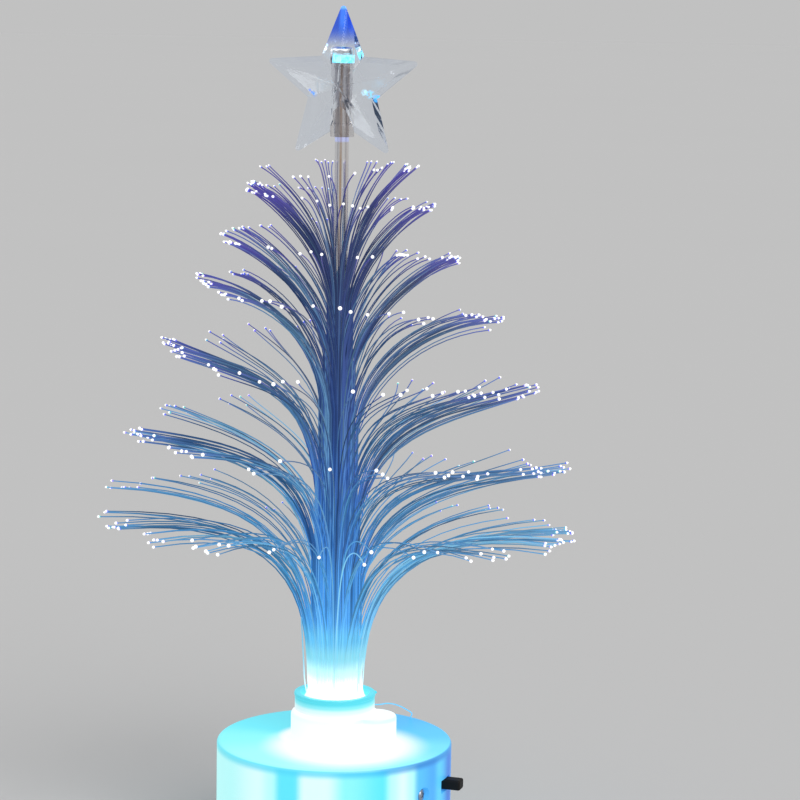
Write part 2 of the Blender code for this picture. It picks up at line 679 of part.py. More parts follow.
def make_cover():
    """Bottom cover with the battery tray, the door's recess and hinge, screw seats and foot pockets."""
    below = FOOT_LIFT - OVERRUN
    cover = cylinder(COVER_RADIUS, (0, 0, FOOT_LIFT), (0, 0, COVER_TOP), ROUND_SIDES)
    cover = part(cover, "bottom_cover", "white_plastic")
    outer_x = TRAY_HALF_LENGTH + TRAY_WALL
    outer_y = TRAY_HALF_WIDTH + TRAY_WALL
    middle = FOOT_LIFT + COVER_THICKNESS / 2
    walls = box((-outer_x, -outer_y, middle), (outer_x, outer_y, TRAY_TOP))
    combine(cover, tool(walls, "tray_block"), "UNION")
    bay = box((-TRAY_HALF_LENGTH, -TRAY_HALF_WIDTH, below), (TRAY_HALF_LENGTH, TRAY_HALF_WIDTH, TRAY_CEILING))
    combine(cover, tool(bay, "battery_bay"), "DIFFERENCE")

    recess_low = (door_axis()[0] - DOOR_BARREL_RADIUS - 2 * CLEARANCE, -door_half_width() - CLEARANCE, below)
    recess_high = (door_end() + CLEARANCE, door_half_width() + CLEARANCE, DOOR_TOP + CLEARANCE)
    combine(cover, tool(box(recess_low, recess_high), "door_recess"), "DIFFERENCE")
    x, z = door_axis()
    half = barrel_half_length() + CLEARANCE
    barrel = cylinder(DOOR_BARREL_RADIUS + CLEARANCE, (x, -half, z), (x, half, z))
    combine(cover, tool(barrel, "barrel_recess"), "DIFFERENCE")
    half = door_half_width() + DOOR_PIN_LENGTH + CLEARANCE
    pin = cylinder(DOOR_PIN_RADIUS + CLEARANCE, (x, -half, z), (x, half, z))
    combine(cover, tool(pin, "pin_recess"), "DIFFERENCE")
    half -= CLEARANCE / 2
    mouth = box((x - DOOR_PIN_RADIUS, -half, below), (x + DOOR_PIN_RADIUS, half, z))
    combine(cover, tool(mouth, "pin_mouth"), "DIFFERENCE")
    notch_x = door_end() + NAIL_NOTCH_RADIUS / 2
    notch = cylinder(NAIL_NOTCH_RADIUS, (notch_x, 0, below), (notch_x, 0, FOOT_LIFT + NAIL_NOTCH_DEPTH))
    combine(cover, tool(notch, "nail_notch"), "DIFFERENCE")

    for index, turn in enumerate(COVER_POST_TURNS):
        low = around(COVER_POST_CIRCLE, turn, below)
        seat_top = around(COVER_POST_CIRCLE, turn, FOOT_LIFT + SCREW_HEAD_HEIGHT + CLEARANCE)
        seat = tool(cylinder(SCREW_HEAD_RADIUS + CLEARANCE, low, seat_top), f"screw_seat_{index}")
        combine(cover, seat, "DIFFERENCE")
        high = around(COVER_POST_CIRCLE, turn, COVER_TOP + OVERRUN)
        hole = tool(cylinder(SCREW_RADIUS + CLEARANCE, low, high), f"screw_hole_{index}")
        combine(cover, hole, "DIFFERENCE")
    for index, turn in enumerate(FOOT_TURNS):
        low = around(FOOT_CIRCLE, turn, below)
        high = around(FOOT_CIRCLE, turn, FOOT_LIFT + FOOT_POCKET_DEPTH)
        pocket = tool(cylinder(FOOT_RADIUS + CLEARANCE, low, high), f"foot_pocket_{index}")
        combine(cover, pocket, "DIFFERENCE")

    slot_z = (TRAY_CEILING - OVERRUN, TRAY_TOP + OVERRUN)
    tab_low, tab_high = plus_tab_range()
    x = plus_contact_x()
    half = CONTACT_THICKNESS / 2 + CONTACT_SLOT_ROOM
    slot = box((x - half, tab_low - CLEARANCE, slot_z[0]), (x + half, tab_high + CLEARANCE, slot_z[1]))
    combine(cover, tool(slot, "plus_tab_slot"), "DIFFERENCE")
    x = minus_contact_x()
    wide = LEAF_HALF_WIDTH + CLEARANCE
    slot = box((x - half, -wide, slot_z[0]), (x + half, wide, slot_z[1]))
    combine(cover, tool(slot, "minus_tab_slot"), "DIFFERENCE")
    return cover


def door_axis():
    """X and Z of the battery door's hinge line."""
    x = -(TRAY_HALF_LENGTH + DOOR_LEDGE + 2 * DOOR_BARREL_RADIUS)
    return x, FOOT_LIFT + DOOR_BARREL_RADIUS


def door_end():
    """X of the door's free end."""
    return TRAY_HALF_LENGTH + DOOR_LEDGE + DOOR_BARREL_RADIUS


def door_half_width():
    """Half of the door's width across the tray."""
    return TRAY_HALF_WIDTH + DOOR_LEDGE


def barrel_half_length():
    """Half of the length of the door's hinge barrel, which stops just short of the door's sides."""
    return door_half_width() - 2 * CLEARANCE


def make_door():
    """Hinged battery door: a plate with a barrel, two trunnion pins and grip grooves, on its hinge line."""
    x, z = door_axis()
    half = door_half_width()
    hinge = bpy.data.objects.new("door_hinge", None)
    hinge.location = (x, 0.0, z)
    PARTS.objects.link(hinge)
    door = box((0.0, -half, FOOT_LIFT - z), (door_end() - x, half, DOOR_TOP - z))
    door = part(door, "battery_door", "white_plastic", parent=hinge)
    long = barrel_half_length()
    barrel = cylinder(DOOR_BARREL_RADIUS, (0, -long, 0), (0, long, 0))
    combine(door, tool(barrel, "door_barrel", hinge), "UNION")
    reach = half + DOOR_PIN_LENGTH
    pin = cylinder(DOOR_PIN_RADIUS, (0, -reach, 0), (0, reach, 0))
    combine(door, tool(pin, "door_pin", hinge), "UNION")
    groove_half = half / 2
    floor = FOOT_LIFT - z
    for index in range(DOOR_GROOVE_COUNT):
        middle = door_end() - x - (2 * index + 3) * 2 * DOOR_GROOVE_WIDTH
        low = (middle - DOOR_GROOVE_WIDTH / 2, -groove_half, floor - OVERRUN)
        high = (middle + DOOR_GROOVE_WIDTH / 2, groove_half, floor + DOOR_GROOVE_DEPTH)
        combine(door, tool(box(low, high), f"door_groove_{index}", hinge), "DIFFERENCE")
    return door


def make_feet():
    """Three rubber feet, each pressed into a pocket of the cover."""
    for index, turn in enumerate(FOOT_TURNS):
        low = around(FOOT_CIRCLE, turn)
        high = around(FOOT_CIRCLE, turn, FOOT_LIFT + FOOT_POCKET_DEPTH - CLEARANCE)
        part(cylinder(FOOT_RADIUS, low, high), f"rubber_foot_{index + 1}", "rubber")


def screw_shape(name, radius, head_radius, head_height, length, cross_span):
    """A cross-head screw along its own Z, head down, with the underside of its head at its origin."""
    taper = radius / 2
    profile = [
        (0.0, length),
        (taper, length),
        (radius, length - radius),
        (radius, 0.0),
        (head_radius, 0.0),
        (head_radius, -head_height * SCREW_HEAD_SIDE_SHARE),
        (head_radius * SCREW_HEAD_FACE_SHARE, -head_height),
        (0.0, -head_height),
    ]
    screw = part(turned(profile, SCREW_SIDES, closed=False), name, "steel")
    depth = SCREW_CROSS_DEPTH
    half = SCREW_CROSS_WIDTH / 2
    for index, (x, y) in enumerate(((cross_span / 2, half), (half, cross_span / 2))):
        slot = box((-x, -y, -head_height - OVERRUN), (x, y, -head_height + depth))
        combine(screw, tool(slot, f"{name}_cross_{index}", screw), "DIFFERENCE")
    return screw


def make_screws():
    """Three cover screws, the board screw and the two switch screws."""
    for index, turn in enumerate(COVER_POST_TURNS):
        screw = screw_shape(
            f"cover_screw_{index + 1}",
            SCREW_RADIUS,
            SCREW_HEAD_RADIUS,
            SCREW_HEAD_HEIGHT,
            SCREW_LENGTH,
            SCREW_CROSS_SPAN,
        )
        screw.location = around(COVER_POST_CIRCLE, turn, FOOT_LIFT + SCREW_HEAD_HEIGHT)
    screw = screw_shape(
        "board_screw", SCREW_RADIUS, SCREW_HEAD_RADIUS, SCREW_HEAD_HEIGHT, SCREW_LENGTH, SCREW_CROSS_SPAN
    )
    screw.parent = SWITCH_AXIS
    screw.location = (LOBE_OFFSET, 0.0, BOARD_BOTTOM - CLEARANCE)

    seat = PAD_FACE + SWITCH_SCREW_SEAT + CLEARANCE
    length = seat - PLATE_BACK + SWITCH_SCREW_TAIL
    for name, side in (("front", -1), ("back", 1)):
        screw = screw_shape(
            f"switch_screw_{name}",
            SWITCH_SCREW_RADIUS,
            SWITCH_SCREW_HEAD_RADIUS,
            SWITCH_SCREW_HEAD_HEIGHT,
            length,
            SWITCH_SCREW_HEAD_RADIUS,
        )
        screw.parent = SWITCH_AXIS
        screw.location = (seat, side * SWITCH_SPACING / 2, SWITCH_Z)
        screw.rotation_euler = (0.0, math.radians(-90), 0.0)


def plus_contact_x():
    """X of the middle of the positive contact plate."""
    return TRAY_HALF_LENGTH - CLEARANCE - CONTACT_THICKNESS / 2


def minus_contact_x():
    """X of the middle of the negative contact's upright strip."""
    return -(TRAY_HALF_LENGTH - CLEARANCE - CONTACT_THICKNESS / 2)


def plus_tab_range():
    """Y range of the positive contact's solder tab."""
    return CONTACT_HALF_WIDTH, CONTACT_HALF_WIDTH + CONTACT_TAB_WIDTH


def make_cells():
    """Three button cells lying end to end, each a can with a smaller raised cap."""
    start = -TRAY_HALF_LENGTH + MINUS_ROOM
    rim = CELL_STEP / 2
    for index in range(CELL_COUNT):
        profile = [
            (0.0, CELL_THICKNESS),
            (CELL_RADIUS - rim, CELL_THICKNESS),
            (CELL_RADIUS, CELL_THICKNESS - rim),
            (CELL_RADIUS, CELL_STEP),
            (CELL_RADIUS - CELL_STEP, CELL_STEP),
            (CELL_RADIUS - CELL_STEP, 0.0),
            (0.0, 0.0),
        ]
        cell = part(turned(profile, MIDDLE_SIDES, closed=False), f"button_cell_{index + 1}", "nickel")
        cell.location = (start + index * (CELL_THICKNESS + CLEARANCE), 0.0, CELL_AXIS_Z)
        cell.rotation_euler = (0.0, math.radians(90), 0.0)


def make_contacts():
    """Positive plate with its solder tab, and negative folded leaf spring."""
    low = CELL_AXIS_Z - CONTACT_RISE
    high = CELL_AXIS_Z + CONTACT_RISE
    tab_low, tab_high = plus_tab_range()
    outline = [
        (-CONTACT_HALF_WIDTH, low),
        (tab_high, low),
        (tab_high, TAB_TOP),
        (tab_low, TAB_TOP),
        (tab_low, high),
        (-CONTACT_HALF_WIDTH, high),
    ]
    plate = part(flat_outline(outline, CONTACT_THICKNESS / 2), "contact_positive", "nickel", smooth=False)
    plate.location = (plus_contact_x(), 0.0, 0.0)
    plate.rotation_euler = (math.radians(90), 0.0, math.radians(90))

    thick = CONTACT_THICKNESS
    back = -TRAY_HALF_LENGTH + CLEARANCE
    tip = back + LEAF_DEPTH
    outline = [
        (back, low),
        (back + thick, low - thick),
        (tip, CELL_AXIS_Z - thick),
        (tip, CELL_AXIS_Z + thick),
        (back + 3 * thick, high),
        (back + 2 * thick, high),
        (tip - thick, CELL_AXIS_Z),
        (back + thick, low + thick),
        (back + thick, TAB_TOP),
        (back, TAB_TOP),
    ]
    leaf = part(flat_outline(outline, LEAF_HALF_WIDTH), "contact_negative", "nickel", smooth=False)
    leaf.rotation_euler = (math.radians(90), 0.0, 0.0)


def make_board():
    """Lamp board: a slot-shaped plate under the collar, with holes for its screw and the lamp's legs."""
    far_end = LOBE_OFFSET + POST_RADIUS
    points = []
    for start, middle in ((-90, far_end - BOARD_HALF_WIDTH), (90, -BOARD_NEAR_END + BOARD_HALF_WIDTH)):
        for index in range(SMALL_SIDES // 2 + 1):
            angle = math.radians(start + 180 * index / (SMALL_SIDES // 2))
            points.append((middle + BOARD_HALF_WIDTH * math.cos(angle), BOARD_HALF_WIDTH * math.sin(angle)))
    holes = [circle_points((LOBE_OFFSET, 0.0), SCREW_RADIUS + CLEARANCE, SCREW_SIDES)]
    for side in (-1, 1):
        led_leg = (0.0, side * LED_LEG_SPACING / 2)
        holes.append(circle_points(led_leg, LED_LEG_RADIUS + CLEARANCE, LEG_SIDES))
        resistor_leg = (side * RESISTOR_SPAN / 2, RESISTOR_OFFSET)
        holes.append(circle_points(resistor_leg, RESISTOR_WIRE_RADIUS + CLEARANCE, LEG_SIDES))
    board = flat_outline(points, BOARD_THICKNESS / 2, holes)
    board.location = (0.0, 0.0, BOARD_BOTTOM + BOARD_THICKNESS / 2)
    part(board, "led_board", "board", smooth=False, parent=SWITCH_AXIS)


def make_led():
    """Round colour-changing lamp with its flange, domed lens and two legs."""
    dome_centre = LED_FOOT + LED_HEIGHT - LED_RADIUS
    profile = [(0.0, LED_FOOT + LED_HEIGHT)]
    profile += arc((0.0, dome_centre), LED_RADIUS, 90, 0)[1:]
    profile += [
        (LED_RADIUS, LED_FOOT + LED_FLANGE_HEIGHT),
        (LED_FLANGE_RADIUS, LED_FOOT + LED_FLANGE_HEIGHT),
        (LED_FLANGE_RADIUS, LED_FOOT),
        (0.0, LED_FOOT),
    ]
    led = part(turned(profile, SMALL_SIDES, closed=False), "led", "lamp_lens", parent=SWITCH_AXIS)
    for index, side in enumerate((-1, 1)):
        y = side * LED_LEG_SPACING / 2
        low = (0, y, LED_FOOT - LED_LEG_LENGTH)
        leg = cylinder(LED_LEG_RADIUS, low, (0, y, LED_FOOT + LED_FLANGE_HEIGHT / 2), LEG_SIDES)
        combine(led, tool(leg, f"led_leg_{index}", SWITCH_AXIS), "UNION")


def make_resistor():
    """Axial resistor lying on the board, its wire bent down through the board at both ends."""
    height = BOARD_TOP + CLEARANCE + RESISTOR_RADIUS
    span = RESISTOR_SPAN / 2
    corner = 2 * RESISTOR_WIRE_RADIUS
    tail = BOARD_BOTTOM - CLEARANCE
    route = [
        (-span, RESISTOR_OFFSET, tail),
        (-span, RESISTOR_OFFSET, height - corner),
        (-span + corner, RESISTOR_OFFSET, height),
        (span - corner, RESISTOR_OFFSET, height),
        (span, RESISTOR_OFFSET, height - corner),
        (span, RESISTOR_OFFSET, tail),
    ]
    legs = tool(as_mesh(wire([route], RESISTOR_WIRE_RADIUS)), "resistor_legs", SWITCH_AXIS)
    half = RESISTOR_LENGTH / 2
    waist = RESISTOR_RADIUS * RESISTOR_WAIST_SHARE
    outer, inner, neck = (half * share for share in RESISTOR_CAP_SHARES)
    profile = [
        (0.0, half),
        (waist, half),
        (RESISTOR_RADIUS, outer),
        (RESISTOR_RADIUS, inner),
        (waist, neck),
        (waist, -neck),
        (RESISTOR_RADIUS, -inner),
        (RESISTOR_RADIUS, -outer),
        (waist, -half),
        (0.0, -half),
    ]
    body = part(turned(profile, SCREW_SIDES, closed=False), "resistor", "resistor_body", parent=SWITCH_AXIS)
    body.location = (0.0, RESISTOR_OFFSET, height)
    body.rotation_euler = (0.0, math.radians(90), 0.0)
    combine(body, legs, "UNION")


def make_switch():
    """Slide switch: steel plate, moulded body, sliding lever and three terminals."""
    plate = box(
        (PLATE_BACK, -SWITCH_PLATE_HALF_LENGTH, SWITCH_Z - SWITCH_PLATE_HALF_HEIGHT),
        (PLATE_FRONT, SWITCH_PLATE_HALF_LENGTH, SWITCH_Z + SWITCH_PLATE_HALF_HEIGHT),
    )
    plate = part(plate, "switch_plate", "steel", smooth=False, parent=SWITCH_AXIS)
    slot_half = LEVER_HALF_WIDTH + SWITCH_TRAVEL / 2 + CLEARANCE
    rise = LEVER_HALF_HEIGHT + CLEARANCE
    slot = box(
        (PLATE_BACK - OVERRUN, -slot_half, SWITCH_Z - rise),
        (PLATE_FRONT + OVERRUN, slot_half, SWITCH_Z + rise),
    )
    combine(plate, tool(slot, "plate_slot", SWITCH_AXIS), "DIFFERENCE")
    for name, side in (("front", -1), ("back", 1)):
        y = side * SWITCH_SPACING / 2
        hole = cylinder(
            SWITCH_SCREW_RADIUS + CLEARANCE,
            (PLATE_BACK - OVERRUN, y, SWITCH_Z),
            (PLATE_FRONT + OVERRUN, y, SWITCH_Z),
        )
        combine(plate, tool(hole, f"plate_hole_{name}", SWITCH_AXIS), "DIFFERENCE")

    body = box(
        (BODY_BACK, -SWITCH_BODY_HALF_LENGTH, SWITCH_Z - SWITCH_BODY_HALF_HEIGHT),
        (BODY_FRONT, SWITCH_BODY_HALF_LENGTH, SWITCH_Z + SWITCH_BODY_HALF_HEIGHT),
    )
    body = part(body, "switch_body", "black_plastic", smooth=False, parent=SWITCH_AXIS)
    room = SLIDER_HALF_LENGTH + SWITCH_TRAVEL / 2 + CLEARANCE
    tall = SLIDER_HALF_HEIGHT + CLEARANCE
    cavity = box(
        (BODY_FRONT - SLIDER_DEPTH - CLEARANCE, -room, SWITCH_Z - tall),
        (BODY_FRONT + OVERRUN, room, SWITCH_Z + tall),
    )
    combine(body, tool(cavity, "slider_cavity", SWITCH_AXIS), "DIFFERENCE")

    slide = bpy.data.objects.new("lever_slide", None)
    slide.parent = SWITCH_AXIS
    slide.location = (BASE_RADIUS, LEVER_REST, SWITCH_Z)
    PARTS.objects.link(slide)
    stem = box(
        (BODY_FRONT - SLIDER_DEPTH / 2 - BASE_RADIUS, -LEVER_HALF_WIDTH, -LEVER_HALF_HEIGHT),
        (LEVER_REACH, LEVER_HALF_WIDTH, LEVER_HALF_HEIGHT),
    )
    lever = part(stem, "switch_lever", "black_plastic", parent=slide)
    edge = lever.modifiers.new("round_edges", "BEVEL")
    edge.width = LEVER_ROUND
    edge.segments = 2
    slider = box(
        (BODY_FRONT - SLIDER_DEPTH - BASE_RADIUS, -SLIDER_HALF_LENGTH, -SLIDER_HALF_HEIGHT),
        (BODY_FRONT - BASE_RADIUS, SLIDER_HALF_LENGTH, SLIDER_HALF_HEIGHT),
    )
    combine(lever, tool(slider, "slider_block", slide), "UNION")

    for index in range(TERMINAL_COUNT):
        y = (index - (TERMINAL_COUNT - 1) / 2) * TERMINAL_SPACING
        pin = box(
            (TERMINAL_BACK, y - TERMINAL_HALF_WIDTH, SWITCH_Z - TERMINAL_HALF_HEIGHT),
            (TERMINAL_FRONT, y + TERMINAL_HALF_WIDTH, SWITCH_Z + TERMINAL_HALF_HEIGHT),
        )
        part(pin, f"switch_terminal_{index + 1}", "nickel", smooth=False, parent=SWITCH_AXIS)


def beside_switch(depth, across, height):
    """World point at a distance from the Z axis along the switch's own direction, and across it."""
    angle = math.radians(-SWITCH_TURN)
    x = depth * math.cos(angle) - across * math.sin(angle)
    y = depth * math.sin(angle) + across * math.cos(angle)
    return Vector((x, y, height))


def make_leads():
    """Three insulated leads: battery to switch, switch to board, and battery to board."""
    solder_z = TRAY_TOP + CONTACT_TAB_HEIGHT / 2
    pad_z = BOARD_TOP + CLEARANCE
    loop = LEAD_LOOP
    tab_y = sum(plus_tab_range()) / 2
    start_x = plus_contact_x() + CONTACT_THICKNESS / 2 + CLEARANCE
    pin_end = TERMINAL_BACK - CLEARANCE
    red = [
        (start_x, tab_y, solder_z),
        (start_x + loop, tab_y, solder_z + LEAD_RADIUS),
        beside_switch(pin_end - loop, RED_SWING, SWITCH_Z - LEAD_RADIUS),
        beside_switch(pin_end - RED_TURN_IN, TERMINAL_SPACING, SWITCH_Z),
        beside_switch(pin_end, TERMINAL_SPACING, SWITCH_Z),
    ]
    blue = [
        beside_switch(pin_end, -TERMINAL_SPACING, SWITCH_Z),
        beside_switch(pin_end - loop, -TERMINAL_SPACING, SWITCH_Z + loop / 2),
        beside_switch(LOBE_OFFSET, -BLUE_SWING, SWITCH_Z + BLUE_RISE),
        beside_switch(BOARD_HALF_WIDTH, -BLUE_SWING, pad_z + loop),
        beside_switch(BOARD_HALF_WIDTH - loop, -BLUE_LANDING, pad_z),
    ]
    start_x = minus_contact_x() - CONTACT_THICKNESS / 2 - CLEARANCE
    land = BOARD_HALF_WIDTH - loop
    black = [
        (start_x, 0.0, solder_z),
        (start_x - loop, 0.0, solder_z + loop / 2),
        (start_x - loop / 2, loop / 2, pad_z + loop),
        beside_switch(-land - BLACK_RISE, 0.0, pad_z + BLACK_RISE),
        beside_switch(-land - loop / 3, 0.0, pad_z + loop),
        beside_switch(-land, 0.0, pad_z),
    ]
    for name, points in (("red_lead", red), ("blue_lead", blue), ("black_lead", black)):
        part(wire([smooth_route(points, LEAD_POINTS)], LEAD_RADIUS), name, name)


def make_socket():
    """Cup that holds the fibre bundle: a spigot in the collar, a seat, a shelf and a thin outward lip."""
    lip = SOCKET_RADIUS + SOCKET_LIP
    shelf = SOCKET_BORE + SOCKET_SHELF_WIDTH
    shelf_z = LAST_SLICE_TOP
    profile = [
        (shelf, SOCKET_TOP),
        (lip, SOCKET_TOP),
        (lip, SOCKET_TOP - SOCKET_LIP_HEIGHT),
        (SOCKET_RADIUS, SOCKET_TOP - SOCKET_LIP_HEIGHT - SOCKET_LIP),
        (SOCKET_RADIUS, SOCKET_STEP),
        (SPIGOT_RADIUS, SOCKET_STEP),
        (SPIGOT_RADIUS, SOCKET_BOTTOM),
        (SOCKET_BORE - SOCKET_SEAT_WIDTH, SOCKET_BOTTOM),
        (SOCKET_BORE - SOCKET_SEAT_WIDTH, SOCKET_BOTTOM + SOCKET_SEAT),
        (SOCKET_BORE, SOCKET_BOTTOM + SOCKET_SEAT),
        (SOCKET_BORE, shelf_z),
        (shelf, shelf_z),
    ]
    part(turned(profile, MIDDLE_SIDES), "fibre_socket", "frosted_plastic")


def make_glue():
    """Bead of clear glue round the foot of the bundle, drawn in towards its top."""
    top = GLUE_BOTTOM + GLUE_HEIGHT
    outer = SOCKET_BORE + SOCKET_SHELF_WIDTH - CLEARANCE
    slim = GLUE_BORE + GLUE_WALL / 2
    upper, middle, lower = (GLUE_HEIGHT * share for share in GLUE_RISE_SHARES)
    profile = [
        (GLUE_BORE, top),
        (slim, top),
        (slim + (outer - slim) / 4, GLUE_BOTTOM + upper),
        (slim + (outer - slim) / 2, GLUE_BOTTOM + middle),
        (outer, GLUE_BOTTOM + lower),
        (outer, GLUE_BOTTOM),
        (GLUE_BORE, GLUE_BOTTOM),
    ]
    part(turned(profile, MIDDLE_SIDES), "glue_bead", "clear_glue")


def make_rod():
    """Clear rod that runs from the lamp through the bundle and carries the star."""
    rod = cylinder(ROD_RADIUS, (0, 0, ROD_BOTTOM), (0, 0, ROD_TOP), SMALL_SIDES)
    part(rod, "centre_rod", "clear_rod")


def fibre_turns(tier):
    """Foot turn, tip turn and lift of one tier's fibres: feet evenly round the ring, tips in clumps."""
    tips = []
    for turn, spread, number, lift in FIBRE_CLUMPS[tier]:
        count = max(1, round(number * FIBRE_SHARE))
        for index in range(count):
            tips.append((math.radians(turn + spread * ((2 * index + 1) / count - 1)), lift))
    tips.sort()
    step = math.tau / len(tips)
    start = sum(tip - index * step for index, (tip, lift) in enumerate(tips)) / len(tips)
    return [(start + index * step, tip, lift) for index, (tip, lift) in enumerate(tips)]


def fibre_route(tier, foot_turn, tip_turn, lift, ring):
    """Points of one fibre: its foot, and a cubic bend from the ring to the tip past two guide points."""
    exposed = ROD_TOP - SOCKET_TOP
    foot_z = FIRST_SLICE_Z + tier * SLICE_PITCH + SLICE_THICKNESS / 2
    side = math.cos(tip_turn)
    wave = 1 - REACH_WAVE_SHARE * (1 + math.sin(REACH_WAVES * tip_turn + tier)) / 2
    reach = FIBRE_REACH * TIP_REACH_SHARES[tier] * wave * (1 + TIP_SHIFT_SHARES[tier] * side)
    droop = TIP_DROOP_SHARES[tier] * max(0.0, side) ** DROOP_POWER
    sink = reach * (TIP_TILT_SHARES[tier] * side + droop)
    rise = exposed * TIP_HEIGHT_SHARES[tier]
    tip_z = SOCKET_TOP + rise - sink + exposed * LIFT_STEP_SHARE * lift
    start_z = max(tip_z - rise * (1 - BEND_START_SHARES[tier]), GLUE_BOTTOM + GLUE_HEIGHT)
    climb = tip_z - start_z
    span = reach - ring
    radii = (
        ring,
        ring + span * FIRST_REACH_SHARES[tier],
        ring + span * SECOND_REACH_SHARES[tier],
        reach,
    )
    climbs = (0.0, FIRST_CLIMB_SHARES[tier], SECOND_CLIMB_SHARES[tier], 1.0)
    points = [(ring * math.cos(foot_turn), ring * math.sin(foot_turn), foot_z)]
    for share in BEND_SHARES:
        weights = (
            (1 - share) ** 3,
            3 * (1 - share) ** 2 * share,
            3 * (1 - share) * share**2,
            share**3,
        )
        radius = sum(weight * value for weight, value in zip(weights, radii))
        height = sum(weight * value for weight, value in zip(weights, climbs))
        turn = tip_turn + (foot_turn - tip_turn) * (1 - share) ** 2
        points.append((radius * math.cos(turn), radius * math.sin(turn), start_z + climb * height))
    return points


def make_tier(tier, profile):
    """One tier: a ring of fibres fused to a slice of glue, with a bore for the tiers inside it."""
    ring = FIRST_RING + tier * FIBRE_RING_STEP
    bottom = FIRST_SLICE_Z + tier * SLICE_PITCH
    top = bottom + SLICE_THICKNESS
    bore = ring - FIBRE_RADIUS - SLICE_MARGIN
    slice_profile = [(bore, top), (SLICE_RADIUS, top), (SLICE_RADIUS, bottom), (bore, bottom)]
    name = f"fibre_tier_{tier + 1}"
    backing = part(turned(slice_profile, SLICE_SIDES), name, "fibre")
    routes = [fibre_route(tier, foot, tip, lift, ring) for foot, tip, lift in fibre_turns(tier)]
    strands = as_mesh(wire(routes, FIBRE_RADIUS, profile))
    combine(backing, tool(strands, f"{name}_strands"), "UNION")


def make_tiers():
    """The seven fibre tiers, on a three-sided fibre profile."""
    curve = bpy.data.curves.new("fibre_profile", "CURVE")
    curve.dimensions = "2D"
    spline = curve.splines.new("POLY")
    spline.points.add(2)
    for index, place in enumerate(spline.points):
        angle = math.tau * index / 3
        place.co = (FIBRE_RADIUS * math.cos(angle), FIBRE_RADIUS * math.sin(angle), 0.0, 1.0)
    spline.use_cyclic_u = True
    profile = bpy.data.objects.new("fibre_profile", curve)
    bpy.context.scene.collection.objects.link(profile)
    tool(profile, "fibre_profile")
    for tier in range(TIER_COUNT):
        make_tier(tier, profile)


def make_star():
    """Clear star: two faceted half shells that meet on the star's plane, and the socket between them."""
    lift = bpy.data.objects.new("star_lift", None)
    lift.location = (0.0, 0.0, STAR_Z)
    PARTS.objects.link(lift)
    room = cylinder(
        STAR_SOCKET_TOP_RADIUS + CLEARANCE,
        (0, 0, -STAR_RADIUS),
        (0, 0, STAR_SOCKET_TOP + CLEARANCE - STAR_Z),
        SMALL_SIDES,
    )
    room = tool(room, "star_socket_room", lift)
    for name, side, turn_about in (("star_front", -1, 0), ("star_back", 1, 180)):
        mesh = bpy.data.meshes.new(name)
        shape = bmesh.new()
        bmesh.ops.create_cone(
            shape,
            cap_ends=False,
            segments=2 * STAR_POINTS,
            radius1=STAR_RADIUS,
            radius2=0.0,
            depth=STAR_DEPTH,
        )
        bmesh.ops.remove_doubles(shape, verts=shape.verts, dist=MERGE_DISTANCE)
        for corner in shape.verts:
            corner.co.z += STAR_DEPTH / 2
            turn = math.atan2(corner.co.y, corner.co.x)
            step = round(turn / (math.pi / STAR_POINTS) - 0.5)
            if corner.co.xy.length > STAR_RADIUS / 2 and step % 2:
                corner.co.xy *= STAR_NOTCH_SHARE
        shape.to_mesh(mesh)
        shape.free()
        half = bpy.data.objects.new(name, mesh)
        bpy.context.scene.collection.objects.link(half)
        half = part(half, name, "clear_star", smooth=False, parent=lift)
        half.rotation_euler = (math.radians(90), 0.0, math.radians(turn_about))
        wall = half.modifiers.new("wall", "SOLIDIFY")
        wall.thickness = STAR_WALL
        wall.offset = -1.0
        gap_low = min(side * CLEARANCE / 2, -side * 2 * STAR_WALL)
        gap_high = max(side * CLEARANCE / 2, -side * 2 * STAR_WALL)
        reach = STAR_RADIUS + OVERRUN
        seam = tool(box((-reach, gap_low, -reach), (reach, gap_high, reach)), f"{name}_seam", lift)
        combine(half, seam, "DIFFERENCE")
        combine(half, room, "DIFFERENCE")

    low = STAR_SOCKET_BOTTOM - STAR_Z
    high = STAR_SOCKET_TOP - STAR_Z
    taper_end = high - STAR_SOCKET_TAPER
    profile = [
        (0.0, high),
        (STAR_SOCKET_TOP_RADIUS - STAR_SOCKET_CAP / 3, high),
        (STAR_SOCKET_TOP_RADIUS, high - STAR_SOCKET_CAP / 3),
        (STAR_SOCKET_TOP_RADIUS, high - STAR_SOCKET_CAP),
        (STAR_SOCKET_RADIUS, taper_end),
        (STAR_SOCKET_RADIUS, low),
        (STAR_BORE, low),
        (STAR_BORE, high - STAR_SOCKET_CAP),
        (0.0, high - STAR_SOCKET_CAP),
    ]
    part(turned(profile, SMALL_SIDES, closed=False), "star_socket", "clear_star", parent=lift)


def make_tree():
    """Every sub-part of the lamp."""
    make_housing()
    make_cover()
    make_door()
    make_feet()
    make_screws()
    make_cells()
    make_contacts()
    make_board()
    make_led()
    make_resistor()
    make_switch()
    make_leads()
    make_socket()
    make_glue()
    make_rod()
    make_tiers()
    make_star()


clear_scene()
PARTS = make_collection("fibre_optic_tree")
CUTTERS = make_collection("cutters")
SWITCH_AXIS = bpy.data.objects.new("switch_axis", None)
SWITCH_AXIS.rotation_euler = (0.0, 0.0, math.radians(-SWITCH_TURN))
PARTS.objects.link(SWITCH_AXIS)
make_tree()
bpy.context.view_layer.update()
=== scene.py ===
"""Looks of the battery-lit fibre optic table tree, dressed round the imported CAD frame.

Units are metres and +Z is up. The front of the tree looks along -Y and the origin is on the table, under
the middle of the base. Colours are sRGB, of 0 to 255 or as shares of 1, and are turned linear where a
material takes them.
"""

import math

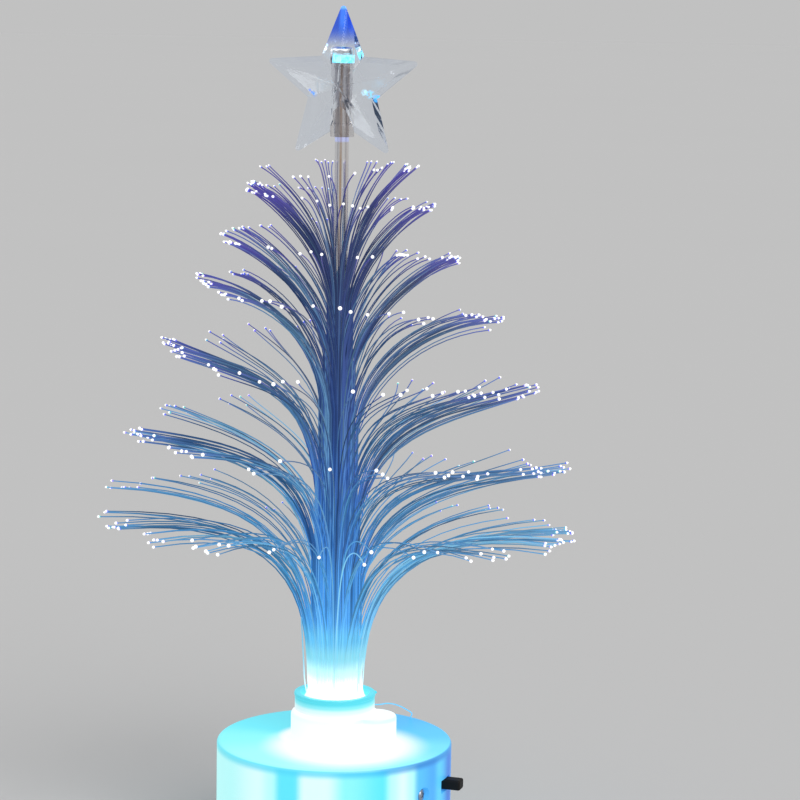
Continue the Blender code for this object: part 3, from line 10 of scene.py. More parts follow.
import bpy
import numpy as np
from mathutils import Matrix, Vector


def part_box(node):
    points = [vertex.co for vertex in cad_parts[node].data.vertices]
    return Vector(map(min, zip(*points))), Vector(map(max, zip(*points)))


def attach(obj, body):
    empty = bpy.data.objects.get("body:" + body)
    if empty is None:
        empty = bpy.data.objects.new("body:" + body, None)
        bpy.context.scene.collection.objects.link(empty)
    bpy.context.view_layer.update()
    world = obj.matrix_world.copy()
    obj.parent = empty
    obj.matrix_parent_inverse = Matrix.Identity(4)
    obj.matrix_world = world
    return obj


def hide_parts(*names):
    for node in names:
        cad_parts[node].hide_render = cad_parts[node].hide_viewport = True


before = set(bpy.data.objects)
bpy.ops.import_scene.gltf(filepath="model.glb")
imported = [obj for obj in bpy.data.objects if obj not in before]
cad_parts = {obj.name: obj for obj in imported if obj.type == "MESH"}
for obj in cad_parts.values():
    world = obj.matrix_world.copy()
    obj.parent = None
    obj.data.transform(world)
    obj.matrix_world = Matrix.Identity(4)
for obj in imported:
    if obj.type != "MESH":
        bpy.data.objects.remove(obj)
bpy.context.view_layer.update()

# Camera, at the photograph's viewing angle. Angles are in degrees.
CAMERA_DISTANCE = 0.580
CAMERA_HEIGHT = 0.1868
CAMERA_LENS = 126.0
CAMERA_SENSOR = 36.0
CAMERA_DIP = 8.6
CAMERA_YAW = 1.27
CAMERA_ROLL = 0.92

# Floor and light
FLOOR_RADIUS = 8.0
FLOOR_SIDES = 96
FLOOR_COLOUR = (0.80, 0.80, 0.80)
BACKDROP_COLOUR = (0.757, 0.757, 0.757)
SKY_STRENGTH = 0.55
LAMP_STRENGTH = 1.6
LAMP_SPREAD = 40.0
LAMP_TURN = (48.0, 0.0, 28.0)

# Shape detail
FINE_SIDES = 192
ROUND_SIDES = 96
SMALL_SIDES = 48
SHARP_ANGLE = 30.0
CORNER_STEPS = 9
SHORT_STEPS = 5
OVERRUN = 0.0010
AXIS_GAP = 0.0002
EDGE_BEVEL = 0.0002

# Base shell, read from the housing where the frame gives it
HOUSING_LOW, HOUSING_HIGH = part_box("base_housing")
SOCKET_LOW, SOCKET_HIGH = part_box("fibre_socket")
GLUE_LOW, GLUE_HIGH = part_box("glue_bead")
ROD_LOW, ROD_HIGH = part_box("centre_rod")
LEVER_LOW, LEVER_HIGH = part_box("switch_lever")
BASE_RADIUS = HOUSING_HIGH.x
BASE_FOOT = HOUSING_LOW.z
COLLAR_TOP = HOUSING_HIGH.z
COLLAR_HEIGHT = 0.0061
PLATE_TOP = COLLAR_TOP - COLLAR_HEIGHT
BASE_WALL = 0.0016
EDGE_ROUND = 0.0009
FOOT_ROUND = 0.0004
COLLAR_RADIUS = 0.0093
COLLAR_WALL = 0.0015
COLLAR_ROUND = 0.0007
COLLAR_FLARE = 0.0012
LOBE_RADIUS = 0.0049
LOBE_OFFSET = 0.0087
LOBE_FLARE = 0.0008
HOUSING_BORE = BASE_RADIUS - BASE_WALL
COLLAR_BORE = COLLAR_RADIUS - COLLAR_WALL

# Socket ring on the collar, and the nub that its mould leaves on the lip
RING_BORE = 0.0066
RING_SHELF = 0.0062
RING_SHELF_HEIGHT = 0.0007
RING_SPIGOT = 0.0075
RING_RISE = 0.0003
LIP_ROUND = 0.00025
LIP_HEIGHT = 0.0006
LIP_FOOT = 0.00075
LIP_WIDTH = 0.00015
MOUTH_ROUND = 0.0002
MOUTH_DEPTH = 0.0011
MOUTH_SLOPE = (0.0005, 0.0003)
MOUTH_WIDTH = 0.0009
NUB_TURN = 4
NUB_RADIUS = 0.0003
NUB_SIDES = 24
NUB_START = (0.0006, 0.0008)
NUB_END = (0.0002, 0.0001)

# Glue. Waves and lumps are (number round the dome, size, turn in radians): the size of a wave is a share
# of the radius, that of the lumps a height
GLUE_LEVELS = 14
GLUE_DROP = 0.0006
GLUE_RISE = 0.0052
GLUE_RADIUS = 0.0066
GLUE_DRAW = 0.0011
GLUE_DRAW_POWER = 0.7
GLUE_WAVES = ((3, 0.018, 1.0), (7, 0.012, 0.0))
GLUE_LUMPS = (5, 0.0004, 2.0)
GLUE_CROWN_SHARE = 0.6
GLUE_CROWN_RISE = 0.0006

# Switch opening, turned to the switch's own side
SWITCH_TURN = -18.9
SWITCH_Z = (LEVER_LOW.z + LEVER_HIGH.z) / 2
PAD_FACE = 0.0203
PAD_HALF_HEIGHT = 0.0032
PAD_WIDTH_SHARE = 0.8
SLOT_HALF_WIDTH = 0.0028
SLOT_HALF_HEIGHT = 0.0014
SCREW_SPACING = 0.0190
SCREW_SEAT_RADIUS = 0.0017
SCREW_SEAT = 0.0220
SCREW_HEAD_RADIUS = 0.0014
SCREW_HEAD_HEIGHT = 0.0009
SCREW_SHAFT_RADIUS = 0.0007

# Screws of the bottom cover and its rubber feet
COVER_HEAD_RADIUS = 0.0019
COVER_HEAD_HEIGHT = 0.0008
COVER_SHAFT_RADIUS = 0.0009
CROSS_WIDTH_SHARE = 0.20
CROSS_REACH_SHARE = 0.60
CROSS_DEPTH_SHARE = 0.55
CROSS_TURN = 20
CROSS_TOP_SHARE = 1.5
SCREW_ROUND_SHARE = 0.45
SCREW_CROWN_SHARES = (0.5, 0.97)
SCREW_SHOULDER_SHARE = 0.94
SCREW_POINT_SHARES = (0.4, 0.6)
FOOT_ROUND_SHARE = 0.35
FOOT_DISH = 0.0002
FOOT_DISH_SHARES = (0.6, 0.5)

# Star, turned on the rod as in the photograph
STAR_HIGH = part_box("star_front")[1]
STAR_SOCKET_LOW, STAR_SOCKET_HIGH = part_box("star_socket")
STAR_POINTS = 5
STAR_CENTRE = 0.1642
STAR_MARGIN = 0.0002
STAR_REACH = STAR_HIGH.z - STAR_MARGIN - STAR_CENTRE
STAR_NOTCH = 0.0077
STAR_TIP_ROUND = 0.0006
STAR_NOTCH_ROUND = 0.0004
STAR_DEPTH = 0.0047
STAR_WALL = 0.0008
STAR_SEAM = 0.00008
STAR_TURN = -14.0
STAR_BEND = 1.28
SOCKET_BEND = 1.25
STAR_EDGE_STEPS = 9
STAR_ROWS = 42
HUB_RADIUS = 0.0043
HUB_WIDTH = 0.00030
HUB_RISE = 0.00022
HUB_SHARE = 0.02
SLEEVE_RADIUS = 0.0025
SLEEVE_HEIGHT = 0.0024
SLEEVE_NECK = 0.0006
SLIM_RADIUS = 0.0019
FLARE_RADIUS = 0.0023
FLARE_START = 0.1615
FLARE_END = 0.1689
SOCKET_CAP = 0.0007
SLEEVE_GAP = 0.00008
ROD_RADIUS = ROD_HIGH.x
ROD_EDGE = 0.0002
ROD_GAP = 0.00005
ROD_END = 0.004
ROD_ROWS = 12
CAP_ANGLES = (15, 30, 45, 60, 75)
SLEEVE_ROUND = 0.0003

# Light in the star: heights above its middle or below its tip where each part starts and is full
ARM_LIGHT = (0.0074, 0.0124)
RIDGE_LIGHT = (0.0095, 0.0030)
RIDGE_FADES = (0.0002, 0.0010)
TIP_LIGHT = (0.0012, 0.0004)
GLINT_EDGES = (0.47, 0.53)

# Light in the star's socket and on the rod: bands as (low, high, soft), and the rod's lit top
MOUTH_BAND = (-0.0013, 0.0001, 0.0002)
CAP_BAND = (0.0, 0.0002, 0.00018)
CAP_WAVE = 0.0012
CAP_RIGHT = (0.0004, 0.0014)
ROD_BAND = (-0.0009, 0.0, 0.0003)
ROD_TOP_LIGHT = (0.0015, 0.0008)

# Glints of the star: place across and up from its middle, radius and colour
GLINTS = (
    ((-0.0040, 0.0070), 0.0005, (214, 236, 255)), ((-0.0037, 0.0077), 0.0006, (232, 246, 255)),
    ((-0.0034, 0.0084), 0.0005, (190, 214, 255)), ((-0.0012, 0.0092), 0.0004, (206, 226, 255)),
    ((0.0010, 0.0092), 0.0004, (206, 226, 255)), ((-0.0064, -0.0010), 0.0008, (48, 104, 214)),
    ((-0.0056, -0.0016), 0.0009, (66, 132, 226)), ((0.0051, -0.0010), 0.0010, (176, 232, 255)),
    ((0.0061, -0.0014), 0.0012, (120, 206, 250)), ((0.0073, -0.0023), 0.0011, (84, 176, 246)),
    ((0.0108, 0.0032), 0.0006, (214, 220, 228)),
)

# Fibres, from the top tier to the lowest, with the curve and the shares of the CAD tiers
STRAND_RADIUS = 0.00014
STRAND_SIDES = 3
TRUNK_STEPS = 6
BEND_STEPS = 15
FIBRE_REACH = 0.0494
FIRST_RING = 0.00198
RING_STEP = 0.00066
GLUE_PINCH = 0.92
PINCH_END = 0.0440
TIP_HEIGHT_SHARES = (0.823, 0.787, 0.717, 0.635, 0.532, 0.409, 0.274)
TIP_REACH_SHARES = (0.348, 0.395, 0.498, 0.634, 0.777, 0.917, 0.992)
TIP_SHIFT_SHARES = (-0.09, 0.0, 0.012, 0.064, 0.065, 0.040, 0.0)
TIP_TILT_SHARES = (-0.075, 0.051, 0.041, 0.093, 0.094, 0.055, 0.061)
TIP_DROOP_SHARES = (0.0, 0.07, 0.09, 0.073, 0.057, 0.08, 0.0)
DROOP_POWER = 8
BEND_START_SHARES = (0.783, 0.792, 0.761, 0.707, 0.580, 0.508, 0.160)
FIRST_REACH_SHARES = (0.12, 0.128, 0.094, 0.060, 0.071, 0.068, 0.025)
FIRST_CLIMB_SHARES = (0.625, 0.590, 0.435, 0.560, 0.733, 0.667, 0.610)
SECOND_REACH_SHARES = (0.79, 0.85, 0.615, 0.550, 0.485, 0.368, 0.210)
SECOND_CLIMB_SHARES = (0.896, 0.977, 0.887, 0.940, 0.800, 0.852, 1.0)
RING_SCATTER = 0.05
REACH_SCATTER = 0.035
CLIMB_SCATTER = 0.06
GUIDE_SCATTER = 0.10
LIFT_SCATTERS = (0.4, 0.4, 0.5, 0.7, 1.1, 1.1, 1.4)
SWAY = 2.0
SPREAD_SCATTER = (0.8, 1.1)
TONE_RANGE = (0.25, 0.8)
TONE_SCATTER = 0.3
MM = 0.001

# Clumps of fibres of each tier: turn of their tips from +X and half spread in degrees, number of fibres,
# and lift of the tips in millimetres
CLUMPS = (
    (
        (-158, 8, 6, -0.8), (-118, 9, 3, 0.3), (-90, 19, 2, 0.8), (-64, 5, 3, 1.2), (-32, 6, 8, 0.2),
        (2, 12, 3, 0.0), (30, 4, 3, 0.0), (51, 4, 3, 0.2), (67, 5, 3, 0.4), (103, 8, 6, 1.4),
        (150, 7, 3, 1.6), (182, 7, 4, -1.0),
    ),
    (
        (-139, 4, 4, 0.0), (-109, 8, 2, 0.2), (-93, 8, 2, -0.4), (-79, 8, 3, -0.7), (-58, 2, 3, -0.6),
        (-42, 3, 3, -0.4), (-27, 8, 10, -0.4), (12, 9, 6, 0.0), (55, 14, 5, -1.0), (104, 14, 6, 0.0),
        (140, 9, 5, 0.0), (167, 8, 7, 0.0), (200, 8, 4, 0.2),
    ),
    (
        (-158, 9, 11, -0.7), (-126, 3, 2, -0.5), (-104, 9, 3, -0.7), (-78, 8, 2, -1.0),
        (-60, 4, 5, -0.5), (-48, 4, 3, -0.7), (-25, 9, 10, -0.3), (12, 9, 8, -1.0), (58, 14, 4, -3.4),
        (101, 6, 4, 1.8), (132, 5, 4, 0.6), (151, 6, 8, 0.4), (176, 5, 6, 0.0),
    ),
    (
        (-155, 4, 8, 0.2), (-142, 6, 5, -0.6), (-131, 4, 2, -0.6), (-119, 4, 2, -0.5),
        (-112, 0, 1, -0.9), (-100, 0, 1, 0.0), (-88, 4, 2, 0.3), (-76, 7, 2, -0.1), (-64, 5, 2, 0.1),
        (-57, 2, 3, -0.6), (-31, 8, 8, 0.6), (-8, 10, 8, 0.6), (29, 13, 6, -3.6), (70, 13, 5, -8.0),
        (113, 7, 6, 1.1), (138, 8, 8, 0.0), (177, 6, 7, 0.0),
    ),
    (
        (-152, 8, 11, 0.4), (-132, 5, 4, -1.2), (-119, 6, 2, -1.2), (-107, 7, 3, -1.0),
        (-86, 0, 1, -0.3), (-77, 0, 1, -0.6), (-71, 2, 2, 0.0), (-61, 3, 3, 0.0), (-46, 8, 11, 0.3),
        (-26, 6, 4, 0.0), (-9, 8, 10, 0.8), (26, 13, 6, -3.6), (60, 12, 6, -8.8), (103, 5, 4, 1.8),
        (118, 6, 4, 0.8), (137, 5, 5, -1.4), (178, 9, 11, 0.0),
    ),
    (
        (-155, 7, 10, 0.6), (-134, 11, 9, -0.3), (-113, 2, 2, -0.8), (-104, 0, 1, 1.1),
        (-92, 0, 1, 0.8), (-79, 2, 3, 0.0), (-58, 9, 9, 0.1), (-31, 8, 11, 0.4), (-4, 8, 8, 0.3),
        (24, 11, 7, -4.8), (62, 14, 7, -10.4), (121, 6, 6, 0.4), (146, 7, 8, -0.4), (174, 8, 9, -3.0),
    ),
    (
        (-172, 8, 6, -1.4), (-155, 4, 7, 0.4), (-139, 3, 8, -0.2), (-121, 5, 8, 1.2), (-105, 1, 2, 3.0),
        (-94, 0, 1, 2.8), (-83, 2, 2, 2.8), (-69, 4, 3, 3.2), (-51, 7, 9, 3.1), (-27, 8, 11, 2.8),
        (-14, 4, 5, 2.6), (5, 8, 6, 0.7), (22, 7, 7, -1.0), (44, 7, 6, -1.6), (60, 5, 4, -3.2),
        (84, 7, 4, -3.4), (106, 6, 4, -6.0), (129, 6, 6, 0.4), (149, 5, 4, 0.6), (163, 6, 6, 1.4),
    ),
)

# Tips
TIP_SIDES = 8
TIP_LENGTH = 0.00072
TIP_RADIUS = 0.00040
TIP_SCATTER = 0.00005
SIDE_TIP_SHARE = 0.66
TIER_TIP_SHARES = (0.70, 0.76, 0.86, 0.96, 1.0, 1.0, 0.96)
TIP_PLACES = (0.0, 0.12, 0.36, 0.64, 0.88, 1.0)
TIP_WIDTHS = (0.36, 0.66, 0.96, 0.98, 0.70, 0.34)

# Loose fibres: points given along each, its tone, and how finely it is drawn
STRAY_ROUTES = (
    (
        (-0.0060, -0.0010, 0.0362),
        (-0.0064, -0.0014, 0.0385),
        (-0.0067, -0.0018, 0.0430),
        (-0.0070, -0.0020, 0.0480),
        (-0.0073, -0.0022, 0.0528),
    ),
    (
        (0.0066, 0.0056, 0.0323),
        (0.0090, 0.0068, 0.0316),
        (0.0116, 0.0090, 0.0313),
        (0.0138, 0.0115, 0.0302),
        (0.0156, 0.0135, 0.0288),
        (0.0169, 0.0152, 0.0274),
        (0.0166, 0.0166, 0.0262),
    ),
)
STRAY_TONES = (0.9, 0.5)
STRAY_POINTS = 40
STRAY_SIDES = STRAND_SIDES + 3

# Strength of the light
BASE_GLOW = 0.68
RING_GLOW = 0.62
GLUE_GLOWS = (0.8, 0.6)
STRAND_GLOWS = (0.85, 0.52)
TIP_GLOW = 0.85
STAR_GLOW = 0.7
STAR_SOCKET_GLOW = 0.85
ROD_GLOW = 0.8

# Light: heights between which it changes, from the glue up, and radii where the trunk ends
GLUE_COOLS = (0.0378, 0.0412)
STRAND_COOLS = (0.0375, 0.0450)
STREAKS_START = (0.042, 0.056)
SHADES_START = (0.044, 0.062)
SHINE_FADES = (0.06, 0.12)
ROD_COOLS = (0.060, 0.120)
TRUNK_ENDS = (0.0056, 0.0110)
HUE_FOOT = 0.036
HUE_SPAN = 0.114

# Colours of the light in the base, of 0 to 255
PALE = (190, 255, 252)
CYAN = (92, 226, 250)
WHITE = (224, 255, 255)
SKY = (84, 182, 248)
DEEP = (40, 104, 216)
RING_HUES = (
    (0.0, (255, 255, 255)), (0.3, (225, 255, 255)), (0.62, (140, 240, 247)), (0.9, (88, 220, 234)),
    (1.0, (88, 220, 234)),
)

# Light on the wall, the top and the rim of the base: turn from +X in degrees, and colour
WALL_LIGHT = (
    (-180, PALE), (-150, PALE), (-129, WHITE), (-121, PALE), (-116, CYAN), (-109, CYAN), (-104, WHITE),
    (-94, WHITE), (-84, (140, 240, 255)), (-66, CYAN), (-61, PALE), (-55, WHITE), (-50, PALE),
    (-45, SKY), (-34, (70, 160, 240)), (-28, (92, 200, 252)), (-14, DEEP), (8, SKY), (34, CYAN),
    (60, PALE), (84, CYAN), (106, WHITE), (126, CYAN), (152, PALE), (180, PALE),
)
TOP_LIGHT = (
    (-180, (130, 242, 250)), (-140, (160, 250, 255)), (-90, (176, 250, 255)), (-50, (150, 240, 255)),
    (-20, (112, 220, 252)), (10, (74, 190, 244)), (50, (64, 176, 236)), (110, (88, 222, 240)),
    (150, (92, 228, 242)), (180, (130, 242, 250)),
)
RIM_LIGHT = (
    (-180, (96, 226, 240)), (-100, (76, 208, 240)), (-74, (62, 186, 234)), (-60, (46, 146, 218)),
    (-44, (36, 100, 196)), (-10, (44, 134, 216)), (60, (80, 206, 240)), (180, (96, 226, 240)),
)

# Places of that light: the white-hot middle, the boss, painted shade in lines under the collar's top and
# round the lobe, and the darker foot
HOT_MIDDLE = (0.0022, -0.0060)
HOT_FADES = (0.0115, 0.0190)
BOSS_FADES = (0.0104, 0.0135)
CROWN_RISES = (0.0014, 0.0006)
CROWN_FADES = 0.0004
LOBE_LINE = (0.0012, 0.0030)
RIM_WIDTH = 2.6
FOOT_SHADE = 0.012

# Colours along the fibres by height, in the trunk, outside it and at the tips
TRUNK_HUES = (
    (0.0, (255, 255, 255)), (0.025, (244, 255, 255)), (0.045, (208, 250, 255)),
    (0.075, (156, 234, 252)), (0.11, (118, 210, 252)), (0.15, (92, 178, 244)), (0.20, (76, 158, 232)),
    (0.30, (64, 130, 206)), (0.41, (60, 108, 186)), (0.52, (58, 88, 154)), (0.66, (54, 76, 134)),
    (0.80, (50, 62, 110)), (1.0, (50, 56, 98)),
)
OPEN_HUES = (
    (0.08, (104, 196, 244)), (0.18, (80, 158, 208)), (0.34, (66, 130, 180)), (0.48, (58, 104, 152)),
    (0.64, (54, 84, 130)), (0.82, (52, 70, 114)), (1.0, (52, 62, 106)),
)
END_HUES = (
    (0.2, (128, 210, 242)), (0.42, (104, 160, 226)), (0.6, (104, 110, 218)), (0.9, (112, 92, 212)),
)
NECK_HUES = (
    (0.0, (60, 84, 226)), (0.5, (92, 100, 240)), (0.78, (126, 96, 236)), (0.9, (70, 160, 200)),
    (1.0, (90, 206, 186)),
)

# Painted reflections in streaks round the rod: share of the turn from -180 to 180 degrees, and colour
ROD_CLEAR = (240, 240, 242)
ROD_DARK_REFLECTION = (158, 156, 162)
ROD_WARM_REFLECTION = (176, 134, 96)
ROD_REFLECTIONS = (
    (0.0, ROD_CLEAR), (0.12, ROD_CLEAR), (0.155, ROD_DARK_REFLECTION), (0.19, ROD_CLEAR), (0.205, ROD_WARM_REFLECTION),
    (0.245, ROD_WARM_REFLECTION), (0.26, ROD_CLEAR), (0.31, (250, 248, 244)), (0.345, ROD_DARK_REFLECTION),
    (0.38, ROD_CLEAR), (0.62, ROD_CLEAR), (0.68, ROD_WARM_REFLECTION), (0.74, ROD_CLEAR), (0.86, ROD_DARK_REFLECTION),
    (0.92, ROD_CLEAR), (1.0, ROD_CLEAR),
)


def linear(colour):
    """The linear colour of an sRGB one: each share, offset, to the power 2.4, or over 12.92 if dark."""
    shares = np.asarray(colour, float)
    bright = ((shares + 0.055) / 1.055) ** 2.4
    return tuple(np.where(shares <= 0.04045, shares / 12.92, bright))


def srgb(red, green, blue):
    """A linear colour from red, green and blue of 0 to 255."""
    return linear((red / 255, green / 255, blue / 255))


class Finish:
    """A Principled material in the making. Each method adds one node and gives its output socket."""

    def __init__(self, name, colour=(0.8, 0.8, 0.8), roughness=0.5, **sockets):
        self.material = bpy.data.materials.new(name)
        self.material.use_nodes = True
        self.tree = self.material.node_tree
        self.shader = self.tree.nodes["Principled BSDF"]
        self.set("Base Color", (*colour, 1.0))
        self.set("Roughness", roughness)
        for socket, value in sockets.items():
            self.set(socket.replace("_", " "), value)

    def set(self, socket, value):
        """Give a socket of the shader a value, or link another node's output to it."""
        self.feed(self.shader.inputs[socket], value)

    def feed(self, target, value):
        """Link an output to an input, or write a plain value into it."""
        if isinstance(value, bpy.types.NodeSocket):
            self.tree.links.new(value, target)
        elif isinstance(value, tuple) and len(value) == 3 and len(target.default_value) == 4:
            target.default_value = (*value, 1.0)
        else:
            target.default_value = value

    def node(self, kind, **settings):
        """A new node with its settings."""
        made = self.tree.nodes.new(kind)
        for name, value in settings.items():
            setattr(made, name, value)
        return made

    def place(self):
        """The point on the object, in metres in the frame of the tree."""
        return self.node("ShaderNodeTexCoord").outputs["Object"]

    def axes(self):
        """X, Y and Z of the point on the object."""
        split = self.node("ShaderNodeSeparateXYZ")
        self.feed(split.inputs[0], self.place())
        return split.outputs[0], split.outputs[1], split.outputs[2]

    def attribute(self, name):
        """The value that the mesh carries under a name."""
        return self.node("ShaderNodeAttribute", attribute_name=name).outputs["Fac"]

    def math(self, operation, *values):
        """One sum of one, two or three values."""
        step = self.node("ShaderNodeMath", operation=operation)
        for target, value in zip(step.inputs, values):
            self.feed(target, value)
        return step.outputs[0]

    def spread(self, value, low, high, new_low=0.0, new_high=1.0):
        """A value moved from one range to another and kept inside it, with a soft start and end."""
        step = self.node("ShaderNodeMapRange", interpolation_type="SMOOTHSTEP")
        names = ("Value", "From Min", "From Max", "To Min", "To Max")
        for name, given in zip(names, (value, low, high, new_low, new_high)):
            self.feed(step.inputs[name], given)
        return step.outputs[0]

    def distance(self, across, deep, middle_across, middle_deep):
        """How far a point is from a middle, from its places on two axes."""
        gaps = (self.math("SUBTRACT", across, middle_across), self.math("SUBTRACT", deep, middle_deep))
        squares = [self.math("MULTIPLY", gap, gap) for gap in gaps]
        return self.math("SQRT", self.math("ADD", *squares))

    def noise(self, scale, detail=3.0, stretch=(1.0, 1.0, 1.0)):
        """Soft random shades of 0 to 1 over the object."""
        turn = self.node("ShaderNodeMapping")
        self.feed(turn.inputs["Vector"], self.place())
        turn.inputs["Scale"].default_value = stretch
        cloud = self.node("ShaderNodeTexNoise")
        self.feed(cloud.inputs["Vector"], turn.outputs[0])
        cloud.inputs["Scale"].default_value = scale
        cloud.inputs["Detail"].default_value = detail
        return cloud.outputs["Fac"]

    def ramp(self, value, stops, smooth="EASE"):
        """A colour that follows a value of 0 to 1 through stops of (place, colour of 0 to 255)."""
        band = self.node("ShaderNodeValToRGB")
        band.color_ramp.interpolation = smooth
        elements = band.color_ramp.elements
        while len(elements) < len(stops):
            elements.new(0.5)
        for element, (place, colour) in zip(elements, stops):
            element.position = place
            element.color = (*srgb(*colour), 1.0)
        self.feed(band.inputs["Fac"], value)
        return band.outputs["Color"]

    def turn_share(self, x, y):
        """The turn of a point about Z, from -180 to 180 degrees, as a share of 0 to 1."""
        return self.math("MULTIPLY_ADD", self.math("ARCTAN2", y, x), 1 / math.tau, 0.5)

    def round_ramp(self, share, stops):
        """A colour that follows a turn's share through stops of (turn in degrees, colour of 0 to 255)."""
        return self.ramp(share, [((turn + 180) / 360, colour) for turn, colour in stops])

    def grey(self, value):
        """A grey colour of a value, which may pass 1."""
        join = self.node("ShaderNodeCombineColor")
        for target in join.inputs:
            self.feed(target, value)
        return join.outputs[0]

    def mix(self, share, first, second, blend="MIX"):
        """Two colours mixed by a share of 0 to 1."""
        step = self.node("ShaderNodeMix", data_type="RGBA", blend_type=blend)
        self.feed(step.inputs[0], share)
        self.feed(step.inputs[6], first)
        self.feed(step.inputs[7], second)
        return step.outputs[2]

    def bump(self, height, depth, strength=1.0):
        """Small relief of a height of 0 to 1, as deep as given, on the shader's normal."""
        step = self.node("ShaderNodeBump")
        step.inputs["Strength"].default_value = strength
        step.inputs["Distance"].default_value = depth
        self.feed(step.inputs["Height"], height)
        self.set("Normal", step.outputs[0])


def moulded(name, colour, roughness=0.45, grain=2600.0, depth=0.00002, vary=0.12, **sockets):
    """Moulded plastic or rubber: a fine grain, and a colour and gloss that vary softly over the surface."""
    finish = Finish(name, colour, roughness, **sockets)
    dark = tuple(share * (1 - vary) for share in colour)
    cloud = finish.noise(220.0)
    finish.set("Base Color", finish.mix(cloud, dark, colour))
    finish.set("Roughness", finish.spread(cloud, 0.3, 0.7, roughness * 0.85, roughness * 1.15))
    finish.bump(finish.noise(grain), depth)
    return finish.material


def plated(name, colour, roughness=0.28, brush=(1.0, 1.0, 14.0)):
    """Plated steel: metal with fine brushed streaks in its gloss and a faint change of colour."""
    finish = Finish(name, colour, roughness, Metallic=1.0)
    streak = finish.noise(900.0, 4.0, brush)
    finish.set("Roughness", finish.spread(streak, 0.25, 0.75, roughness * 0.7, roughness * 1.5))
    warm = (colour[0], colour[1] * 0.96, colour[2] * 0.9)
    finish.set("Base Color", finish.mix(finish.noise(400.0), colour, warm))
    finish.bump(streak, 0.000006)
    return finish.material


def lit_plastic():
    """Frosted translucent base, lit from inside: bands of light on the wall and a white-hot middle."""
    finish = Finish("frosted_base", srgb(150, 235, 245), 0.38)
    x, y, z = finish.axes()
    share = finish.turn_share(x, y)
    wall = finish.round_ramp(share, WALL_LIGHT)
    top = finish.round_ramp(share, TOP_LIGHT)
    rim = finish.round_ramp(share, RIM_LIGHT)
    hot = finish.spread(finish.distance(x, y, *HOT_MIDDLE), *HOT_FADES, 1.0, 0.0)
    boss = finish.spread(finish.distance(x, y, 0.0, 0.0), *BOSS_FADES, 1.0, 0.0)
    top = finish.mix(finish.math("MAXIMUM", hot, boss), top, srgb(255, 255, 255))
    # Painted shade: a cyan line under the rounded top edge of the collar, strongest round the lobe.
    crown = finish.math(
        "MULTIPLY",
        finish.spread(z, COLLAR_TOP - CROWN_RISES[0], COLLAR_TOP - CROWN_RISES[1]),
        finish.spread(z, COLLAR_TOP - CROWN_FADES, COLLAR_TOP, 0.4, 0.0),
    )
    lobe_x, lobe_y, _ = switch_side(LOBE_OFFSET, 0.0, 0.0)
    lobe_out = finish.distance(x, y, lobe_x, lobe_y)
    near = finish.spread(lobe_out, LOBE_RADIUS - LOBE_LINE[0], LOBE_RADIUS + LOBE_LINE[1], 0.8, 0.2)
    top = finish.mix(finish.math("MULTIPLY", crown, near), top, srgb(96, 230, 250))
    edge = finish.spread(z, PLATE_TOP - EDGE_ROUND, PLATE_TOP - EDGE_ROUND / 3, 1.0, 0.0)
    line = finish.math(
        "MULTIPLY",
        finish.spread(z, PLATE_TOP - RIM_WIDTH * EDGE_ROUND, PLATE_TOP - EDGE_ROUND, 0.0, 0.8),
        finish.spread(z, PLATE_TOP - EDGE_ROUND / 2, PLATE_TOP - EDGE_ROUND / 6, 1.0, 0.0),
    )
    body = finish.mix(edge, top, wall)
    body = finish.mix(line, body, rim)
    body = finish.mix(finish.spread(z, 0.0, FOOT_SHADE, 0.2, 0.0), body, srgb(60, 170, 240))
    glow = finish.mix(finish.noise(90.0, 2.0), body, finish.mix(0.12, body, srgb(120, 240, 255)))
    finish.set("Base Color", finish.mix(0.56, glow, srgb(10, 80, 100)))
    finish.set("Emission Color", glow)
    finish.set("Emission Strength", BASE_GLOW)
    finish.bump(finish.noise(1500.0), 0.000012)
    return finish.material


def lit_ring():
    """The bundle's socket: cyan under its lip and white towards its foot, where the lamp shines through."""
    finish = Finish("frosted_socket", srgb(150, 240, 248), 0.35)
    height = finish.axes()[2]
    colour = finish.ramp(finish.spread(height, COLLAR_TOP, SOCKET_HIGH.z), RING_HUES)
    finish.set("Base Color", finish.mix(0.6, colour, srgb(20, 80, 100)))
    finish.set("Emission Color", colour)
    finish.set("Emission Strength", RING_GLOW)
    finish.bump(finish.noise(1500.0), 0.00001)
    return finish.material


def lit_glue():
    """Set glue, white-hot with the light of the bundle, with a few soft lumps."""
    finish = Finish("lit_glue", srgb(235, 252, 255), 0.25)
    height = finish.axes()[2]
    tint = finish.mix(finish.noise(700.0), srgb(255, 255, 255), srgb(222, 252, 255))
    tint = finish.mix(finish.spread(height, *GLUE_COOLS, 0.0, 0.85), tint, srgb(170, 240, 255))
    finish.set("Base Color", tint)
    finish.set("Emission Color", tint)
    finish.set("Emission Strength", finish.spread(height, *GLUE_COOLS, *GLUE_GLOWS))
    finish.bump(finish.noise(900.0), 0.00006)
    return finish.material


